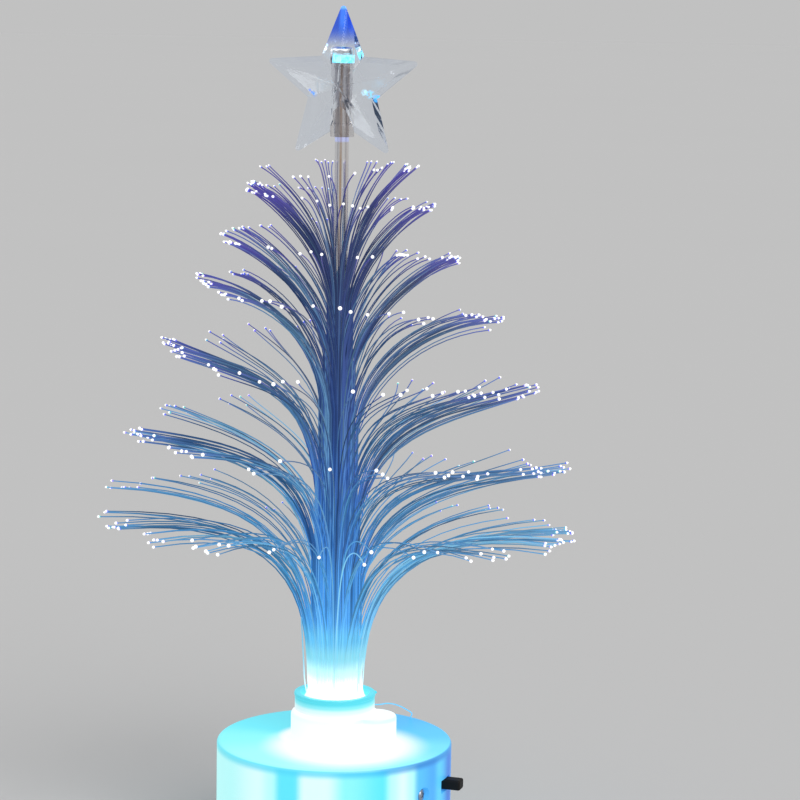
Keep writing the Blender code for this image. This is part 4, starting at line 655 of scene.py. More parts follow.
def lit_strand():
    """Side-glowing fibre: white at the glue, blue in the trunk, teal outside it and darker with height.

    Its tone makes a fibre brighter or darker, its streak does so a little more, and its end takes the
    colour of the tips.
    """
    finish = Finish("light_fibre", srgb(60, 110, 170), 0.22)
    x, y, z = finish.axes()
    height = finish.math("DIVIDE", finish.math("SUBTRACT", z, HUE_FOOT), HUE_SPAN)
    outside = finish.spread(finish.distance(x, y, 0.0, 0.0), *TRUNK_ENDS)
    colour = finish.mix(outside, finish.ramp(height, TRUNK_HUES), finish.ramp(height, OPEN_HUES))
    tone = finish.attribute("tone")
    shine = finish.spread(tone, 0.6, 1.0, 0.0, 0.6)
    shine = finish.math("MULTIPLY", shine, finish.spread(z, *SHINE_FADES, 1.0, 0.35))
    colour = finish.mix(shine, colour, srgb(158, 228, 255))
    shade = finish.spread(tone, 0.0, 0.4, 0.6, 0.0)
    shade = finish.math("MULTIPLY", shade, finish.spread(z, *SHADES_START))
    colour = finish.mix(shade, colour, srgb(30, 54, 96))
    change = finish.math("SUBTRACT", finish.spread(finish.attribute("streak"), 0.0, 1.0, 0.66, 1.4), 1.0)
    streak = finish.math("MULTIPLY_ADD", change, finish.spread(z, *STREAKS_START), 1.0)
    colour = finish.mix(1.0, colour, finish.grey(streak), "MULTIPLY")
    end = finish.spread(finish.attribute("along"), 0.87, 1.0, 0.0, 0.5)
    colour = finish.mix(end, colour, finish.ramp(height, END_HUES))
    finish.set("Base Color", finish.mix(0.55, colour, srgb(0, 0, 0)))
    finish.set("Emission Color", colour)
    finish.set("Emission Strength", finish.spread(z, *STRAND_COOLS, *STRAND_GLOWS))
    return finish.material


def lit_tip():
    """Cut end of a fibre: white light from its face, and blue or violet on its neck."""
    finish = Finish("fibre_tip", srgb(120, 130, 220), 0.2)
    hue = finish.ramp(finish.attribute("tone"), NECK_HUES)
    face = finish.spread(finish.attribute("along"), 0.22, 0.5)
    colour = finish.mix(face, hue, srgb(255, 255, 255))
    finish.set("Base Color", finish.mix(0.4, colour, srgb(10, 10, 60)))
    finish.set("Emission Color", colour)
    finish.set("Emission Strength", TIP_GLOW)
    return finish.material


def clear_plastic(name, tint, roughness=0.03, bend=1.46):
    """Clear moulded plastic that lets the light through, with soft flow marks in its gloss and surface."""
    finish = Finish(name, tint, roughness, IOR=bend)
    finish.set("Transmission Weight", 1.0)
    finish.set("Roughness", finish.spread(finish.noise(260.0), 0.35, 0.75, roughness * 0.5, roughness * 2.0))
    finish.bump(finish.noise(520.0), 0.00001)
    return finish


def band(finish, value, low, high, soft):
    """A share that is 1 between two places and falls softly to 0 outside them."""
    rise = finish.spread(value, low - soft, low)
    return finish.math("MULTIPLY", rise, finish.spread(value, high, high + soft, 1.0, 0.0))


def spot(finish, point, radius):
    """A share that is 1 at a point and falls softly to 0 at a radius round it."""
    step = finish.node("ShaderNodeVectorMath", operation="DISTANCE")
    finish.feed(step.inputs[0], finish.place())
    step.inputs[1].default_value = point
    return finish.spread(step.outputs["Value"], radius * 0.35, radius, 1.0, 0.0)


def lit_star():
    """Clear shell of the star: blue light in its top arm with a bright tip, and glints at its notches.

    A glint is a spot on the front skin, broken up by a fine cloud.
    """
    clear = srgb(249, 251, 253)
    finish = clear_plastic("clear_star", clear, 0.03, STAR_BEND)
    x, y, z = finish.axes()
    angle = math.radians(STAR_TURN)
    across = finish.math("MULTIPLY_ADD", x, math.cos(angle), finish.math("MULTIPLY", y, math.sin(angle)))
    arm = finish.spread(z, STAR_CENTRE + ARM_LIGHT[0], STAR_CENTRE + ARM_LIGHT[1])
    tint = finish.mix(arm, clear, srgb(136, 160, 236))
    glow = finish.mix(arm, srgb(20, 26, 36), srgb(14, 46, 92))
    ridge = finish.spread(finish.math("ABSOLUTE", across), *RIDGE_FADES, 1.0, 0.0)
    rise = finish.spread(z, STAR_CENTRE + RIDGE_LIGHT[0], STAR_HIGH.z - RIDGE_LIGHT[1], 0.0, 0.8)
    glow = finish.mix(finish.math("MULTIPLY", ridge, rise), glow, srgb(52, 104, 156))
    tip = finish.spread(z, STAR_HIGH.z - TIP_LIGHT[0], STAR_HIGH.z - TIP_LIGHT[1])
    glow = finish.mix(tip, glow, srgb(104, 158, 196))
    cloud = finish.spread(finish.noise(1900.0, 3.0), *GLINT_EDGES, 0.05, 1.0)
    for (out, up), radius, colour in GLINTS:
        skin = star_place(out, -STAR_DEPTH * (1 - star_share(out, up)), up)
        share = finish.math("MULTIPLY", spot(finish, skin, radius), cloud)
        glow = finish.mix(share, glow, srgb(*colour))
        tint = finish.mix(share, tint, srgb(*colour))
    finish.set("Base Color", tint)
    finish.set("Emission Color", glow)
    finish.set("Emission Strength", STAR_GLOW)
    return finish.material


def lit_star_socket():
    """Clear socket of the star, with the rod's light in its mouth, painted reflections in streaks and a
    painted highlight as a bright rim on its cap.
    """
    finish = clear_plastic("clear_socket", srgb(232, 234, 238), 0.03, SOCKET_BEND)
    x, _, z = finish.axes()
    low, high, soft = MOUTH_BAND
    mouth = band(finish, z, ROD_HIGH.z + low, ROD_HIGH.z + high, soft)
    cloud = finish.spread(finish.noise(900.0, 2.0), 0.4, 0.6)
    glow = finish.mix(mouth, srgb(0, 0, 0), finish.mix(cloud, srgb(84, 200, 250), srgb(176, 244, 255)))
    # Painted reflections: darker streaks along the clear socket.
    streak = finish.spread(finish.noise(1000.0, 2.0, (1.0, 1.0, 0.08)), 0.35, 0.65)
    tint = finish.mix(streak, srgb(212, 208, 208), srgb(246, 246, 248))
    finish.set("Base Color", finish.mix(mouth, tint, srgb(96, 190, 226)))
    # Painted highlight: a wavy bright rim round the top of the cap, fainter to the right.
    wave = finish.math("MULTIPLY_ADD", finish.noise(420.0, 1.0, (1.0, 1.0, 0.0)), CAP_WAVE, -CAP_WAVE / 2)
    low, high, soft = CAP_BAND
    wavy = finish.math("ADD", z, wave)
    rim = band(finish, wavy, STAR_SOCKET_HIGH.z + low, STAR_SOCKET_HIGH.z + high, soft)
    rim = finish.math("MULTIPLY", rim, finish.spread(x, *CAP_RIGHT, 1.0, 0.15))
    finish.set("Emission Color", finish.mix(rim, glow, srgb(244, 250, 255)))
    finish.set("Emission Strength", STAR_SOCKET_GLOW)
    return finish.material


def clear_rod():
    """Clear rod with lengthwise streaks of painted reflection, gold-brown at the front left and pale beside
    them.
    """
    finish = clear_plastic("clear_rod", srgb(236, 236, 238), 0.05)
    x, y, z = finish.axes()
    # Painted reflections: gold-brown, dark and pale streaks by the turn round the rod, broken along it by a
    # stretched cloud.
    tint = finish.ramp(finish.turn_share(x, y), ROD_REFLECTIONS, "LINEAR")
    streak = finish.spread(finish.noise(900.0, 2.0, (1.0, 1.0, 0.06)), 0.3, 0.55, 0.4, 1.0)
    finish.set("Base Color", finish.mix(streak, srgb(*ROD_CLEAR), tint))
    glow = finish.mix(finish.spread(z, *ROD_COOLS, 0.7, 0.0), srgb(0, 0, 0), srgb(70, 110, 200))
    low, high, soft = ROD_BAND
    foot = band(finish, z, STAR_SOCKET_LOW.z + low, STAR_SOCKET_LOW.z + high, soft)
    glow = finish.mix(finish.math("MULTIPLY", foot, 0.35), glow, srgb(66, 104, 206))
    top = finish.spread(z, ROD_HIGH.z - ROD_TOP_LIGHT[0], ROD_HIGH.z - ROD_TOP_LIGHT[1])
    finish.set("Emission Color", finish.mix(top, glow, srgb(150, 236, 255)))
    finish.set("Emission Strength", ROD_GLOW)
    return finish.material


def floor_finish(name, colour):
    """Plain pale floor with a barely seen grain."""
    finish = Finish(name, colour, 0.9)
    cloud = finish.noise(3.0)
    shade = tuple(share * 0.985 for share in colour)
    finish.set("Base Color", finish.mix(cloud, colour, shade))
    finish.set("Specular IOR Level", 0.1)
    return finish.material


def grid_faces(rows, columns, loop_rows=False):
    """Quads of a grid whose columns close on themselves: each point, the next, and the two a row on."""
    row = np.arange(rows if loop_rows else rows - 1)[:, None]
    column = np.arange(columns)[None, :]
    beside = (column + 1) % columns
    above = (row + 1) % rows
    near, far = row * columns, above * columns
    corners = np.broadcast_arrays(near + column, near + beside, far + beside, far + column)
    return np.stack(corners, -1).reshape(-1, 4)


def tube_faces(count, rows, sides):
    """Faces of many tubes in one mesh: each tube's quads and its two end caps, moved on by its points."""
    wall = grid_faces(rows, sides)
    start = np.arange(count)[:, None, None] * rows * sides
    quads = (wall[None] + start).reshape(-1, 4)
    foot = np.arange(sides - 1, -1, -1)
    head = np.arange(sides) + (rows - 1) * sides
    caps = np.concatenate((foot[None] + start[:, :, 0], head[None] + start[:, :, 0]))
    return [tuple(face) for face in quads] + [tuple(face) for face in caps]


def signed_volume(points, faces):
    """Six times the volume inside the faces: the sum of each fan triangle's triple product."""
    total = 0.0
    for face in faces:
        fan = points[list(face)]
        total += np.einsum("ij,ij->", np.cross(fan[1:-1] - fan[0], fan[2:] - fan[0]), fan[1:-1])
    return total


def solid(name, points, faces):
    """A mesh object from an array of points and its faces, with the faces looking outwards."""
    points = np.asarray(points, float).reshape(-1, 3)
    mesh = bpy.data.meshes.new(name)
    mesh.from_pydata(points.tolist(), [], [list(map(int, face)) for face in faces])
    mesh.validate()
    if signed_volume(points - points.mean(0), faces) < 0:
        mesh.flip_normals()
    mesh.update()
    piece = bpy.data.objects.new(name, mesh)
    bpy.context.scene.collection.objects.link(piece)
    return piece


def turned(name, profile, sides=ROUND_SIDES, closed=True, centre=(0.0, 0.0)):
    """A profile of (radius, height) rows turned about an upright axis: x = r cos a, y = r sin a, z = height.

    A closed profile makes a ring. An open one ends near the axis, and a flat cap closes each end.
    """
    profile = np.asarray(profile, float)
    turns = np.linspace(0, math.tau, sides, endpoint=False)
    radius, height = profile[:, :1], profile[:, 1:]
    flat = np.ones_like(turns)
    points = np.stack(
        (centre[0] + radius * np.cos(turns), centre[1] + radius * np.sin(turns), height * flat), -1
    )
    faces = grid_faces(len(profile), sides, True) if closed else tube_faces(1, len(profile), sides)
    return solid(name, points, faces)


def corner(centre, radius, start, end, steps=CORNER_STEPS):
    """Profile rows on a round corner: centre plus radius times the cosine and sine of even angles."""
    angles = np.radians(np.linspace(start, end, steps))
    return [(centre[0] + radius * c, centre[1] + radius * s) for c, s in zip(np.cos(angles), np.sin(angles))]


def block(name, low, high, turn=0.0):
    """A box between two corners, turned about Z: eight corners, each the low or high value per axis."""
    low, high = np.asarray(low, float), np.asarray(high, float)
    picks = np.array([[i, j, k] for k in (0, 1) for i, j in ((0, 0), (1, 0), (1, 1), (0, 1))])
    points = low + picks * (high - low)
    angle = math.radians(turn)
    cos, sin = math.cos(angle), math.sin(angle)
    spin = np.array([[cos, sin, 0], [-sin, cos, 0], [0, 0, 1]])
    faces = [(3, 2, 1, 0), (4, 5, 6, 7)] + [(i, (i + 1) % 4, 4 + (i + 1) % 4, 4 + i) for i in range(4)]
    return solid(name, points @ spin, faces)


def combine(piece, other, operation):
    """Join, cut or trim a piece with another mesh, and take the other away."""
    step = piece.modifiers.new(operation.lower(), "BOOLEAN")
    step.operation = operation
    step.solver = "EXACT"
    step.object = other
    bpy.context.view_layer.update()
    graph = bpy.context.evaluated_depsgraph_get()
    mesh = bpy.data.meshes.new_from_object(piece.evaluated_get(graph))
    piece.modifiers.clear()
    piece.data = mesh
    mesh.name = piece.name
    bpy.data.objects.remove(other)
    return piece


def dress(piece, material, smooth=True):
    """Give a piece its only material, and smooth shading with sharp edges past the sharp angle."""
    piece.data.materials.clear()
    piece.data.materials.append(material)
    if smooth:
        piece.data.shade_smooth()
        piece.data.set_sharp_from_angle(angle=math.radians(SHARP_ANGLE))
    return piece


def switch_side(out, across, height):
    """Point at a distance out along the switch's own direction, and across it to the back."""
    angle = math.radians(SWITCH_TURN)
    return (
        out * math.cos(angle) - across * math.sin(angle),
        out * math.sin(angle) + across * math.cos(angle),
        height,
    )


def rod_along(name, start, end, radius, sides=SMALL_SIDES):
    """A round bar between two points: rings of start or end plus r (cos a u + sin a v), square to it."""
    start, end = np.asarray(start, float), np.asarray(end, float)
    axis = (end - start) / np.linalg.norm(end - start)
    u = np.cross(axis, (0.0, 0.0, 1.0) if abs(axis[2]) < 0.9 else (1.0, 0.0, 0.0))
    u /= np.linalg.norm(u)
    v = np.cross(axis, u)
    turns = np.linspace(0, math.tau, sides, endpoint=False)[:, None]
    ring = radius * (np.cos(turns) * u + np.sin(turns) * v)
    return solid(name, np.stack((start + ring, end + ring)), tube_faces(1, 2, sides))


def make_base():
    """Base shell: turned wall, plate and collar, with the lobe, the switch pad, its slot and screw seats."""
    profile = [(COLLAR_BORE, COLLAR_TOP)]
    profile += corner((COLLAR_RADIUS - COLLAR_ROUND, COLLAR_TOP - COLLAR_ROUND), COLLAR_ROUND, 90, 0)
    profile += corner((COLLAR_RADIUS + COLLAR_FLARE, PLATE_TOP + COLLAR_FLARE), COLLAR_FLARE, 180, 270)
    profile += corner((BASE_RADIUS - EDGE_ROUND, PLATE_TOP - EDGE_ROUND), EDGE_ROUND, 90, 0, 2 * CORNER_STEPS)
    profile += corner((BASE_RADIUS - FOOT_ROUND, BASE_FOOT + FOOT_ROUND), FOOT_ROUND, 0, -90, SHORT_STEPS)
    inner = BASE_WALL / 2
    profile += [(HOUSING_BORE, BASE_FOOT)]
    profile += corner((HOUSING_BORE - inner, PLATE_TOP - BASE_WALL - inner), inner, 0, 90, SHORT_STEPS)
    profile += [(COLLAR_BORE, PLATE_TOP - BASE_WALL)]
    base = turned("base_shell", profile, FINE_SIDES)

    lobe_profile = [(AXIS_GAP, COLLAR_TOP)]
    lobe_profile += corner((LOBE_RADIUS - COLLAR_ROUND, COLLAR_TOP - COLLAR_ROUND), COLLAR_ROUND, 90, 0)
    lobe_profile += corner((LOBE_RADIUS + LOBE_FLARE, PLATE_TOP + LOBE_FLARE), LOBE_FLARE, 180, 265)
    lobe_profile += [(LOBE_RADIUS + LOBE_FLARE, PLATE_TOP - inner), (AXIS_GAP, PLATE_TOP - inner)]
    centre = switch_side(LOBE_OFFSET, 0.0, 0.0)
    lobe = turned("lobe", lobe_profile, ROUND_SIDES, False, centre[:2])
    trim = rod_along(
        "trim",
        (0, 0, PLATE_TOP - 2 * BASE_WALL),
        (0, 0, COLLAR_TOP + OVERRUN),
        COLLAR_RADIUS - COLLAR_WALL / 2,
        FINE_SIDES,
    )
    combine(lobe, trim, "DIFFERENCE")
    combine(base, lobe, "UNION")

    half = HOUSING_BORE * PAD_WIDTH_SHARE
    pad = block(
        "pad",
        (PAD_FACE, -half, SWITCH_Z - PAD_HALF_HEIGHT),
        (BASE_RADIUS, half, SWITCH_Z + PAD_HALF_HEIGHT),
        SWITCH_TURN,
    )
    limit = rod_along("limit", (0, 0, 0), (0, 0, PLATE_TOP), BASE_RADIUS - BASE_WALL / 2, FINE_SIDES)
    combine(pad, limit, "INTERSECT")
    combine(base, pad, "UNION")
    slot = block(
        "slot",
        (PAD_FACE - OVERRUN, -SLOT_HALF_WIDTH, SWITCH_Z - SLOT_HALF_HEIGHT),
        (BASE_RADIUS + OVERRUN, SLOT_HALF_WIDTH, SWITCH_Z + SLOT_HALF_HEIGHT),
        SWITCH_TURN,
    )
    combine(base, slot, "DIFFERENCE")
    for side in (-1, 1):
        across = side * SCREW_SPACING / 2
        seat = rod_along(
            "seat",
            switch_side(SCREW_SEAT, across, SWITCH_Z),
            switch_side(BASE_RADIUS + OVERRUN, across, SWITCH_Z),
            SCREW_SEAT_RADIUS,
        )
        combine(base, seat, "DIFFERENCE")
    dress(base, lit_plastic())
    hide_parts("base_housing")
    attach(base, "base")


def make_ring():
    """Socket ring on the collar, with its thin lip, rounded edges and the small moulding nub on its right."""
    top = SOCKET_HIGH.z
    lip = SOCKET_HIGH.x
    step = COLLAR_TOP + RING_RISE
    shelf = SOCKET_LOW.z + RING_SHELF_HEIGHT
    wall = lip - LIP_WIDTH
    profile = [(RING_BORE, top - MOUTH_DEPTH), (RING_BORE + MOUTH_SLOPE[0], top - MOUTH_SLOPE[1])]
    profile += corner((RING_BORE + MOUTH_WIDTH, top - MOUTH_ROUND), MOUTH_ROUND, 150, 90, 4)
    profile += corner((lip - LIP_ROUND, top - LIP_ROUND), LIP_ROUND, 90, 0, 6)
    profile += [(lip, top - LIP_HEIGHT), (wall, top - LIP_FOOT)]
    profile += [(wall, step + EDGE_BEVEL), (wall - EDGE_BEVEL, step)]
    profile += [(RING_SPIGOT, step), (RING_SPIGOT, SOCKET_LOW.z), (RING_SHELF, SOCKET_LOW.z)]
    profile += [(RING_SHELF, shelf), (RING_BORE, shelf)]
    ring = turned("socket_ring", profile, FINE_SIDES)
    angle = math.radians(NUB_TURN)
    start, end = lip - NUB_START[0], lip + NUB_END[0]
    nub = rod_along(
        "nub",
        (start * math.cos(angle), start * math.sin(angle), top - NUB_START[1]),
        (end * math.cos(angle), end * math.sin(angle), top - NUB_END[1]),
        NUB_RADIUS,
        NUB_SIDES,
    )
    combine(ring, nub, "UNION")
    dress(ring, lit_ring())
    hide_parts("fibre_socket")
    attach(ring, "base")


def make_glue():
    """Glue dome: its radius falls with a power of a quarter sine from the shelf to the trunk.

    Low waves round it grow with the level, and the crown is the top ring again, narrower and a little
    higher.
    """
    levels = np.linspace(0, 1, GLUE_LEVELS)[:, None]
    turns = np.linspace(0, math.tau, ROUND_SIDES, endpoint=False)[None, :]
    wave = 1.0
    for number, share, turn in GLUE_WAVES:
        wave = wave + share * np.sin(number * turns + turn) * levels
    radius = (GLUE_RADIUS - GLUE_DRAW * np.sin(levels * math.pi / 2) ** GLUE_DRAW_POWER) * wave
    number, lump, turn = GLUE_LUMPS
    height = GLUE_LOW.z - GLUE_DROP + GLUE_RISE * levels + lump * np.sin(number * turns + turn) * levels
    points = np.stack((radius * np.cos(turns), radius * np.sin(turns), height), -1)
    crown = points[-1] * (GLUE_CROWN_SHARE, GLUE_CROWN_SHARE, 1.0) + (0.0, 0.0, GLUE_CROWN_RISE)
    points = np.concatenate((points, crown[None]))
    glue = solid("glue_dome", points, tube_faces(1, len(points), ROUND_SIDES))
    dress(glue, lit_glue())
    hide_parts("glue_bead")
    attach(glue, "base")


def star_place(across, deep, up):
    """A point of the star in its own frame, turned about the rod to its place in the tree."""
    angle = math.radians(STAR_TURN)
    return (
        across * math.cos(angle) - deep * math.sin(angle),
        across * math.sin(angle) + deep * math.cos(angle),
        STAR_CENTRE + up,
    )


def star_share(across, up):
    """How far a point of the star's plane lies out from the middle, as a share of the way to the outline.

    The straight edge from a tip to a notch is met at reach x notch x sin(half) over reach x sin(turn) plus
    notch x sin(half - turn), where half is half a point's angle and turn is the turn from the nearest tip.
    """
    half = math.pi / STAR_POINTS
    turn = abs((math.atan2(across, up) + half) % (2 * half) - half)
    sines = STAR_REACH * math.sin(turn) + STAR_NOTCH * math.sin(half - turn)
    return math.hypot(across, up) * sines / (STAR_REACH * STAR_NOTCH * math.sin(half))


def star_outline():
    """Outline of the star in its own plane, rows of (across, up): arcs at tips and notches, joined by edges.

    Each arc touches both edges of its corner. The sharp tip lies so far out that its arc ends at the reach.
    """
    half = math.pi / STAR_POINTS
    sharp = STAR_REACH
    for _ in range(8):
        lean = math.atan2(STAR_NOTCH * math.sin(half), sharp - STAR_NOTCH * math.cos(half))
        sharp = STAR_REACH - STAR_TIP_ROUND + STAR_TIP_ROUND / math.sin(lean)
    tip_middle = STAR_REACH - STAR_TIP_ROUND
    notch_middle = STAR_NOTCH + STAR_NOTCH_ROUND / math.sin(lean + half)
    swing = math.pi / 2 - lean
    tip_arc = tip_middle + STAR_TIP_ROUND * np.exp(1j * np.linspace(-swing, swing, 7))
    swing -= half
    notch_arc = notch_middle - STAR_NOTCH_ROUND * np.exp(1j * np.linspace(swing, -swing, 5))
    notch_arc = notch_arc * np.exp(1j * half)
    next_tip = tip_arc[0] * np.exp(2j * half)
    shares = np.arange(1, STAR_EDGE_STEPS) / STAR_EDGE_STEPS
    down = tip_arc[-1] + (notch_arc[0] - tip_arc[-1]) * shares
    back = notch_arc[-1] + (next_tip - notch_arc[-1]) * shares
    fifth = np.concatenate((tip_arc, down, notch_arc, back))
    turns = np.exp(1j * (math.pi / 2 + 2 * half * np.arange(STAR_POINTS)))
    outline = (turns[:, None] * fifth[None, :]).ravel()
    return np.column_stack((outline.real, outline.imag))


def make_star_shell(name, node, side, material):
    """Half shell of the star, on the front (side -1) or back (side 1) of its plane.

    A point at a share s of the way from the middle to the outline stands the depth times (1 - s) proud,
    with a low round rib at the hub. The inside is the same surface, one wall further in. The sleeve's own
    profile, grown by a gap, is cut out of it.
    """
    outline = star_outline()
    slope = math.hypot(STAR_DEPTH, STAR_NOTCH)
    sink = STAR_WALL * slope / STAR_NOTCH
    inner = 1 - sink / STAR_DEPTH
    outer_shares = np.linspace(HUB_SHARE, 1.0, STAR_ROWS)
    inner_shares = np.linspace(inner, HUB_SHARE, STAR_ROWS // 2)
    shares = np.concatenate((outer_shares, inner_shares))
    flat = outline[None, :, :] * shares[:, None, None]
    radius = np.linalg.norm(flat, axis=-1)
    level = STAR_DEPTH * (1 - shares)[:, None]
    rib = HUB_RISE * np.exp(-(((radius - HUB_RADIUS) / HUB_WIDTH) ** 2))
    inside = np.arange(len(shares)) >= STAR_ROWS
    proud = np.where(inside[:, None], level - sink, level + rib)
    proud[STAR_ROWS - 1] = 0.0
    deep = side * (STAR_SEAM + np.maximum(proud, 0.0))
    points = np.stack(star_place(flat[..., 0], deep, flat[..., 1]), -1)
    shell = solid(name, points, tube_faces(1, len(shares), len(outline)))
    wide = SLEEVE_RADIUS + SLEEVE_GAP
    foot = STAR_CENTRE - STAR_REACH
    profile = sleeve_cap(SLEEVE_GAP) + [(wide, FLARE_START), (wide, foot), (AXIS_GAP, foot)]
    combine(shell, turned("star_room", profile, ROUND_SIDES, False), "DIFFERENCE")
    dress(shell, material)
    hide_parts(node)
    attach(shell, "star")


def sleeve_cap(gap):
    """Profile of the sleeve's cap, grown by a gap: a low dome over the flared end, down to the flare."""
    radius = FLARE_RADIUS + gap
    high = STAR_SOCKET_HIGH.z + gap
    profile = [(AXIS_GAP, high + SOCKET_CAP)]
    profile += [(radius * math.sin(a), high + SOCKET_CAP * math.cos(a)) for a in np.radians(CAP_ANGLES)]
    return profile + [(radius, high), (radius, FLARE_END)]


def make_star():
    """The two half shells and the socket, a turned sleeve that widens to a cap with a domed top."""
    material = lit_star()
    make_star_shell("star_shell_front", "star_front", -1, material)
    make_star_shell("star_shell_back", "star_back", 1, material)
    low = STAR_SOCKET_LOW.z
    high = low + SLEEVE_HEIGHT
    bore = ROD_RADIUS + ROD_GAP
    ceiling = ROD_HIGH.z + ROD_EDGE
    middle = SLEEVE_RADIUS - SLEEVE_ROUND
    profile = sleeve_cap(0.0) + [(SLIM_RADIUS, FLARE_START)]
    profile += [(SLIM_RADIUS, high + SLEEVE_NECK), (SLIM_RADIUS + EDGE_BEVEL, high + EDGE_BEVEL)]
    profile += corner((middle, high - SLEEVE_ROUND), SLEEVE_ROUND, 90, 0, SHORT_STEPS)
    profile += corner((middle, low + SLEEVE_ROUND), SLEEVE_ROUND, 0, -90, SHORT_STEPS)
    profile += [(bore + EDGE_BEVEL, low), (bore, low + EDGE_BEVEL), (bore, ceiling), (AXIS_GAP, ceiling)]
    sleeve = turned("star_sleeve", profile, ROUND_SIDES, False)
    dress(sleeve, lit_star_socket())
    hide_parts("star_socket")
    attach(sleeve, "star")


def make_rod():
    """Clear rod: a turned bar with a small bevel at both ends."""
    low, high = ROD_LOW.z, ROD_HIGH.z
    profile = [(AXIS_GAP, high), (ROD_RADIUS - ROD_EDGE, high), (ROD_RADIUS, high - ROD_EDGE)]
    profile += [(ROD_RADIUS, height) for height in np.linspace(high - ROD_END, low + ROD_END, ROD_ROWS)]
    profile += [(ROD_RADIUS, low + ROD_EDGE), (ROD_RADIUS - ROD_EDGE, low), (AXIS_GAP, low)]
    rod = turned("rod", profile, SMALL_SIDES, False)
    dress(rod, clear_rod())
    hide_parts("centre_rod")
    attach(rod, "base")


def make_screw(name, node, seat, face, tail, sizes, material):
    """Pan-head screw from its seat, face and tail points, with a cross pressed into its rounded head.

    The head is a profile turned about Z and then laid along the line from seat to face. The cross is cut
    with two bars whose depth is a share of the head.
    """
    head_radius, shaft_radius = sizes
    seat, face, tail = (np.asarray(place, float) for place in (seat, face, tail))
    height = np.linalg.norm(face - seat)
    length = np.linalg.norm(seat - tail)
    ease = height * SCREW_ROUND_SHARE
    crown_out, crown_up = SCREW_CROWN_SHARES
    point_up, point_out = SCREW_POINT_SHARES
    profile = [(AXIS_GAP / 2, height), (head_radius * crown_out, height * crown_up)]
    profile += corner((head_radius - ease, height * SCREW_SHOULDER_SHARE - ease), ease, 70, 0, 6)
    profile += [(head_radius, 0.0), (shaft_radius, 0.0), (shaft_radius, shaft_radius * point_up - length)]
    profile += [(shaft_radius * point_out, -length), (AXIS_GAP / 2, -length)]
    screw = turned(name, profile, SMALL_SIDES, False)
    reach = head_radius * CROSS_REACH_SHARE
    half = head_radius * CROSS_WIDTH_SHARE / 2
    floor = height * (1 - CROSS_DEPTH_SHARE)
    for turn in (0, 90):
        top = height * CROSS_TOP_SHARE
        bar = block("cross", (-reach, -half, floor), (reach, half, top), turn + CROSS_TURN)
        combine(screw, bar, "DIFFERENCE")
    up = (face - seat) / height
    side = np.cross(up, (0.0, 1.0, 0.0)) if abs(up[1]) < 0.9 else np.array([1.0, 0.0, 0.0])
    side /= np.linalg.norm(side)
    place = np.eye(4)
    place[:3, 0], place[:3, 1], place[:3, 2], place[:3, 3] = side, np.cross(up, side), up, seat
    screw.data.transform(Matrix(place.tolist()))
    dress(screw, material)
    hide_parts(node)
    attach(screw, "base")


def make_screws():
    """The two screws beside the switch and the three under the bottom cover."""
    steel = plated("screw_steel", srgb(172, 182, 198), 0.3)
    for name, side in (("front", -1), ("back", 1)):
        across = side * SCREW_SPACING / 2
        low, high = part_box(f"switch_screw_{name}")
        middle = (low + high) / 2
        angle = math.radians(SWITCH_TURN)
        out = middle.x * math.cos(angle) + middle.y * math.sin(angle)
        tail = 2 * out - SCREW_SEAT - SCREW_HEAD_HEIGHT
        make_screw(
            f"pan_screw_{name}",
            f"switch_screw_{name}",
            switch_side(SCREW_SEAT, across, SWITCH_Z),
            switch_side(SCREW_SEAT + SCREW_HEAD_HEIGHT, across, SWITCH_Z),
            switch_side(tail, across, SWITCH_Z),
            (SCREW_HEAD_RADIUS, SCREW_SHAFT_RADIUS),
            steel,
        )
    for index in (1, 2, 3):
        low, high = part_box(f"cover_screw_{index}")
        x, y = (low.x + high.x) / 2, (low.y + high.y) / 2
        make_screw(
            f"pan_screw_{index}",
            f"cover_screw_{index}",
            (x, y, low.z + COVER_HEAD_HEIGHT),
            (x, y, low.z),
            (x, y, high.z),
            (COVER_HEAD_RADIUS, COVER_SHAFT_RADIUS),
            steel,
        )


def make_feet():
    """Three rubber feet: discs with a round lower edge and a shallow dish in their sole."""
    rubber = moulded("foot_rubber", srgb(40, 40, 42), 0.85, 1800.0, 0.00004)
    for index in (1, 2, 3):
        low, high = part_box(f"rubber_foot_{index}")
        radius = (high.x - low.x) / 2
        ease = (high.z - low.z) * FOOT_ROUND_SHARE
        edge, dish = (radius * share for share in FOOT_DISH_SHARES)
        profile = [(AXIS_GAP, high.z), (radius - EDGE_BEVEL, high.z), (radius, high.z - EDGE_BEVEL)]
        profile += corner((radius - ease, low.z + ease), ease, 0, -90, 6)
        profile += [(edge, low.z), (dish, low.z + FOOT_DISH), (AXIS_GAP, low.z + FOOT_DISH)]
        middle = ((low.x + high.x) / 2, (low.y + high.y) / 2)
        foot = turned(f"foot_{index}", profile, SMALL_SIDES, False, middle)
        dress(foot, rubber)
        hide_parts(f"rubber_foot_{index}")
        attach(foot, "base")


def make_strays(strand_finish):
    """Two loose fibres: one beside the foot of the trunk, and one looped behind the lobe."""
    for index, route in enumerate(STRAY_ROUTES):
        points = np.array(route)
        gaps = np.linalg.norm(np.diff(points, axis=0, prepend=points[:1]), axis=1).cumsum()
        places = np.linspace(0, gaps[-1], STRAY_POINTS)
        fine = np.stack([smooth_through(gaps, points[:, axis], places) for axis in range(3)], -1)
        rings = tube_points(fine[None], np.full((1, STRAY_POINTS), STRAND_RADIUS), STRAY_SIDES)
        stray = solid(f"stray_fibre_{index + 1}", rings, tube_faces(1, STRAY_POINTS, STRAY_SIDES))
        for name, value in (("along", 0.2), ("tone", STRAY_TONES[index]), ("streak", 0.4)):
            carry(stray, name, np.full(STRAY_POINTS * STRAY_SIDES, value))
        dress(stray, strand_finish)
        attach(stray, "base")


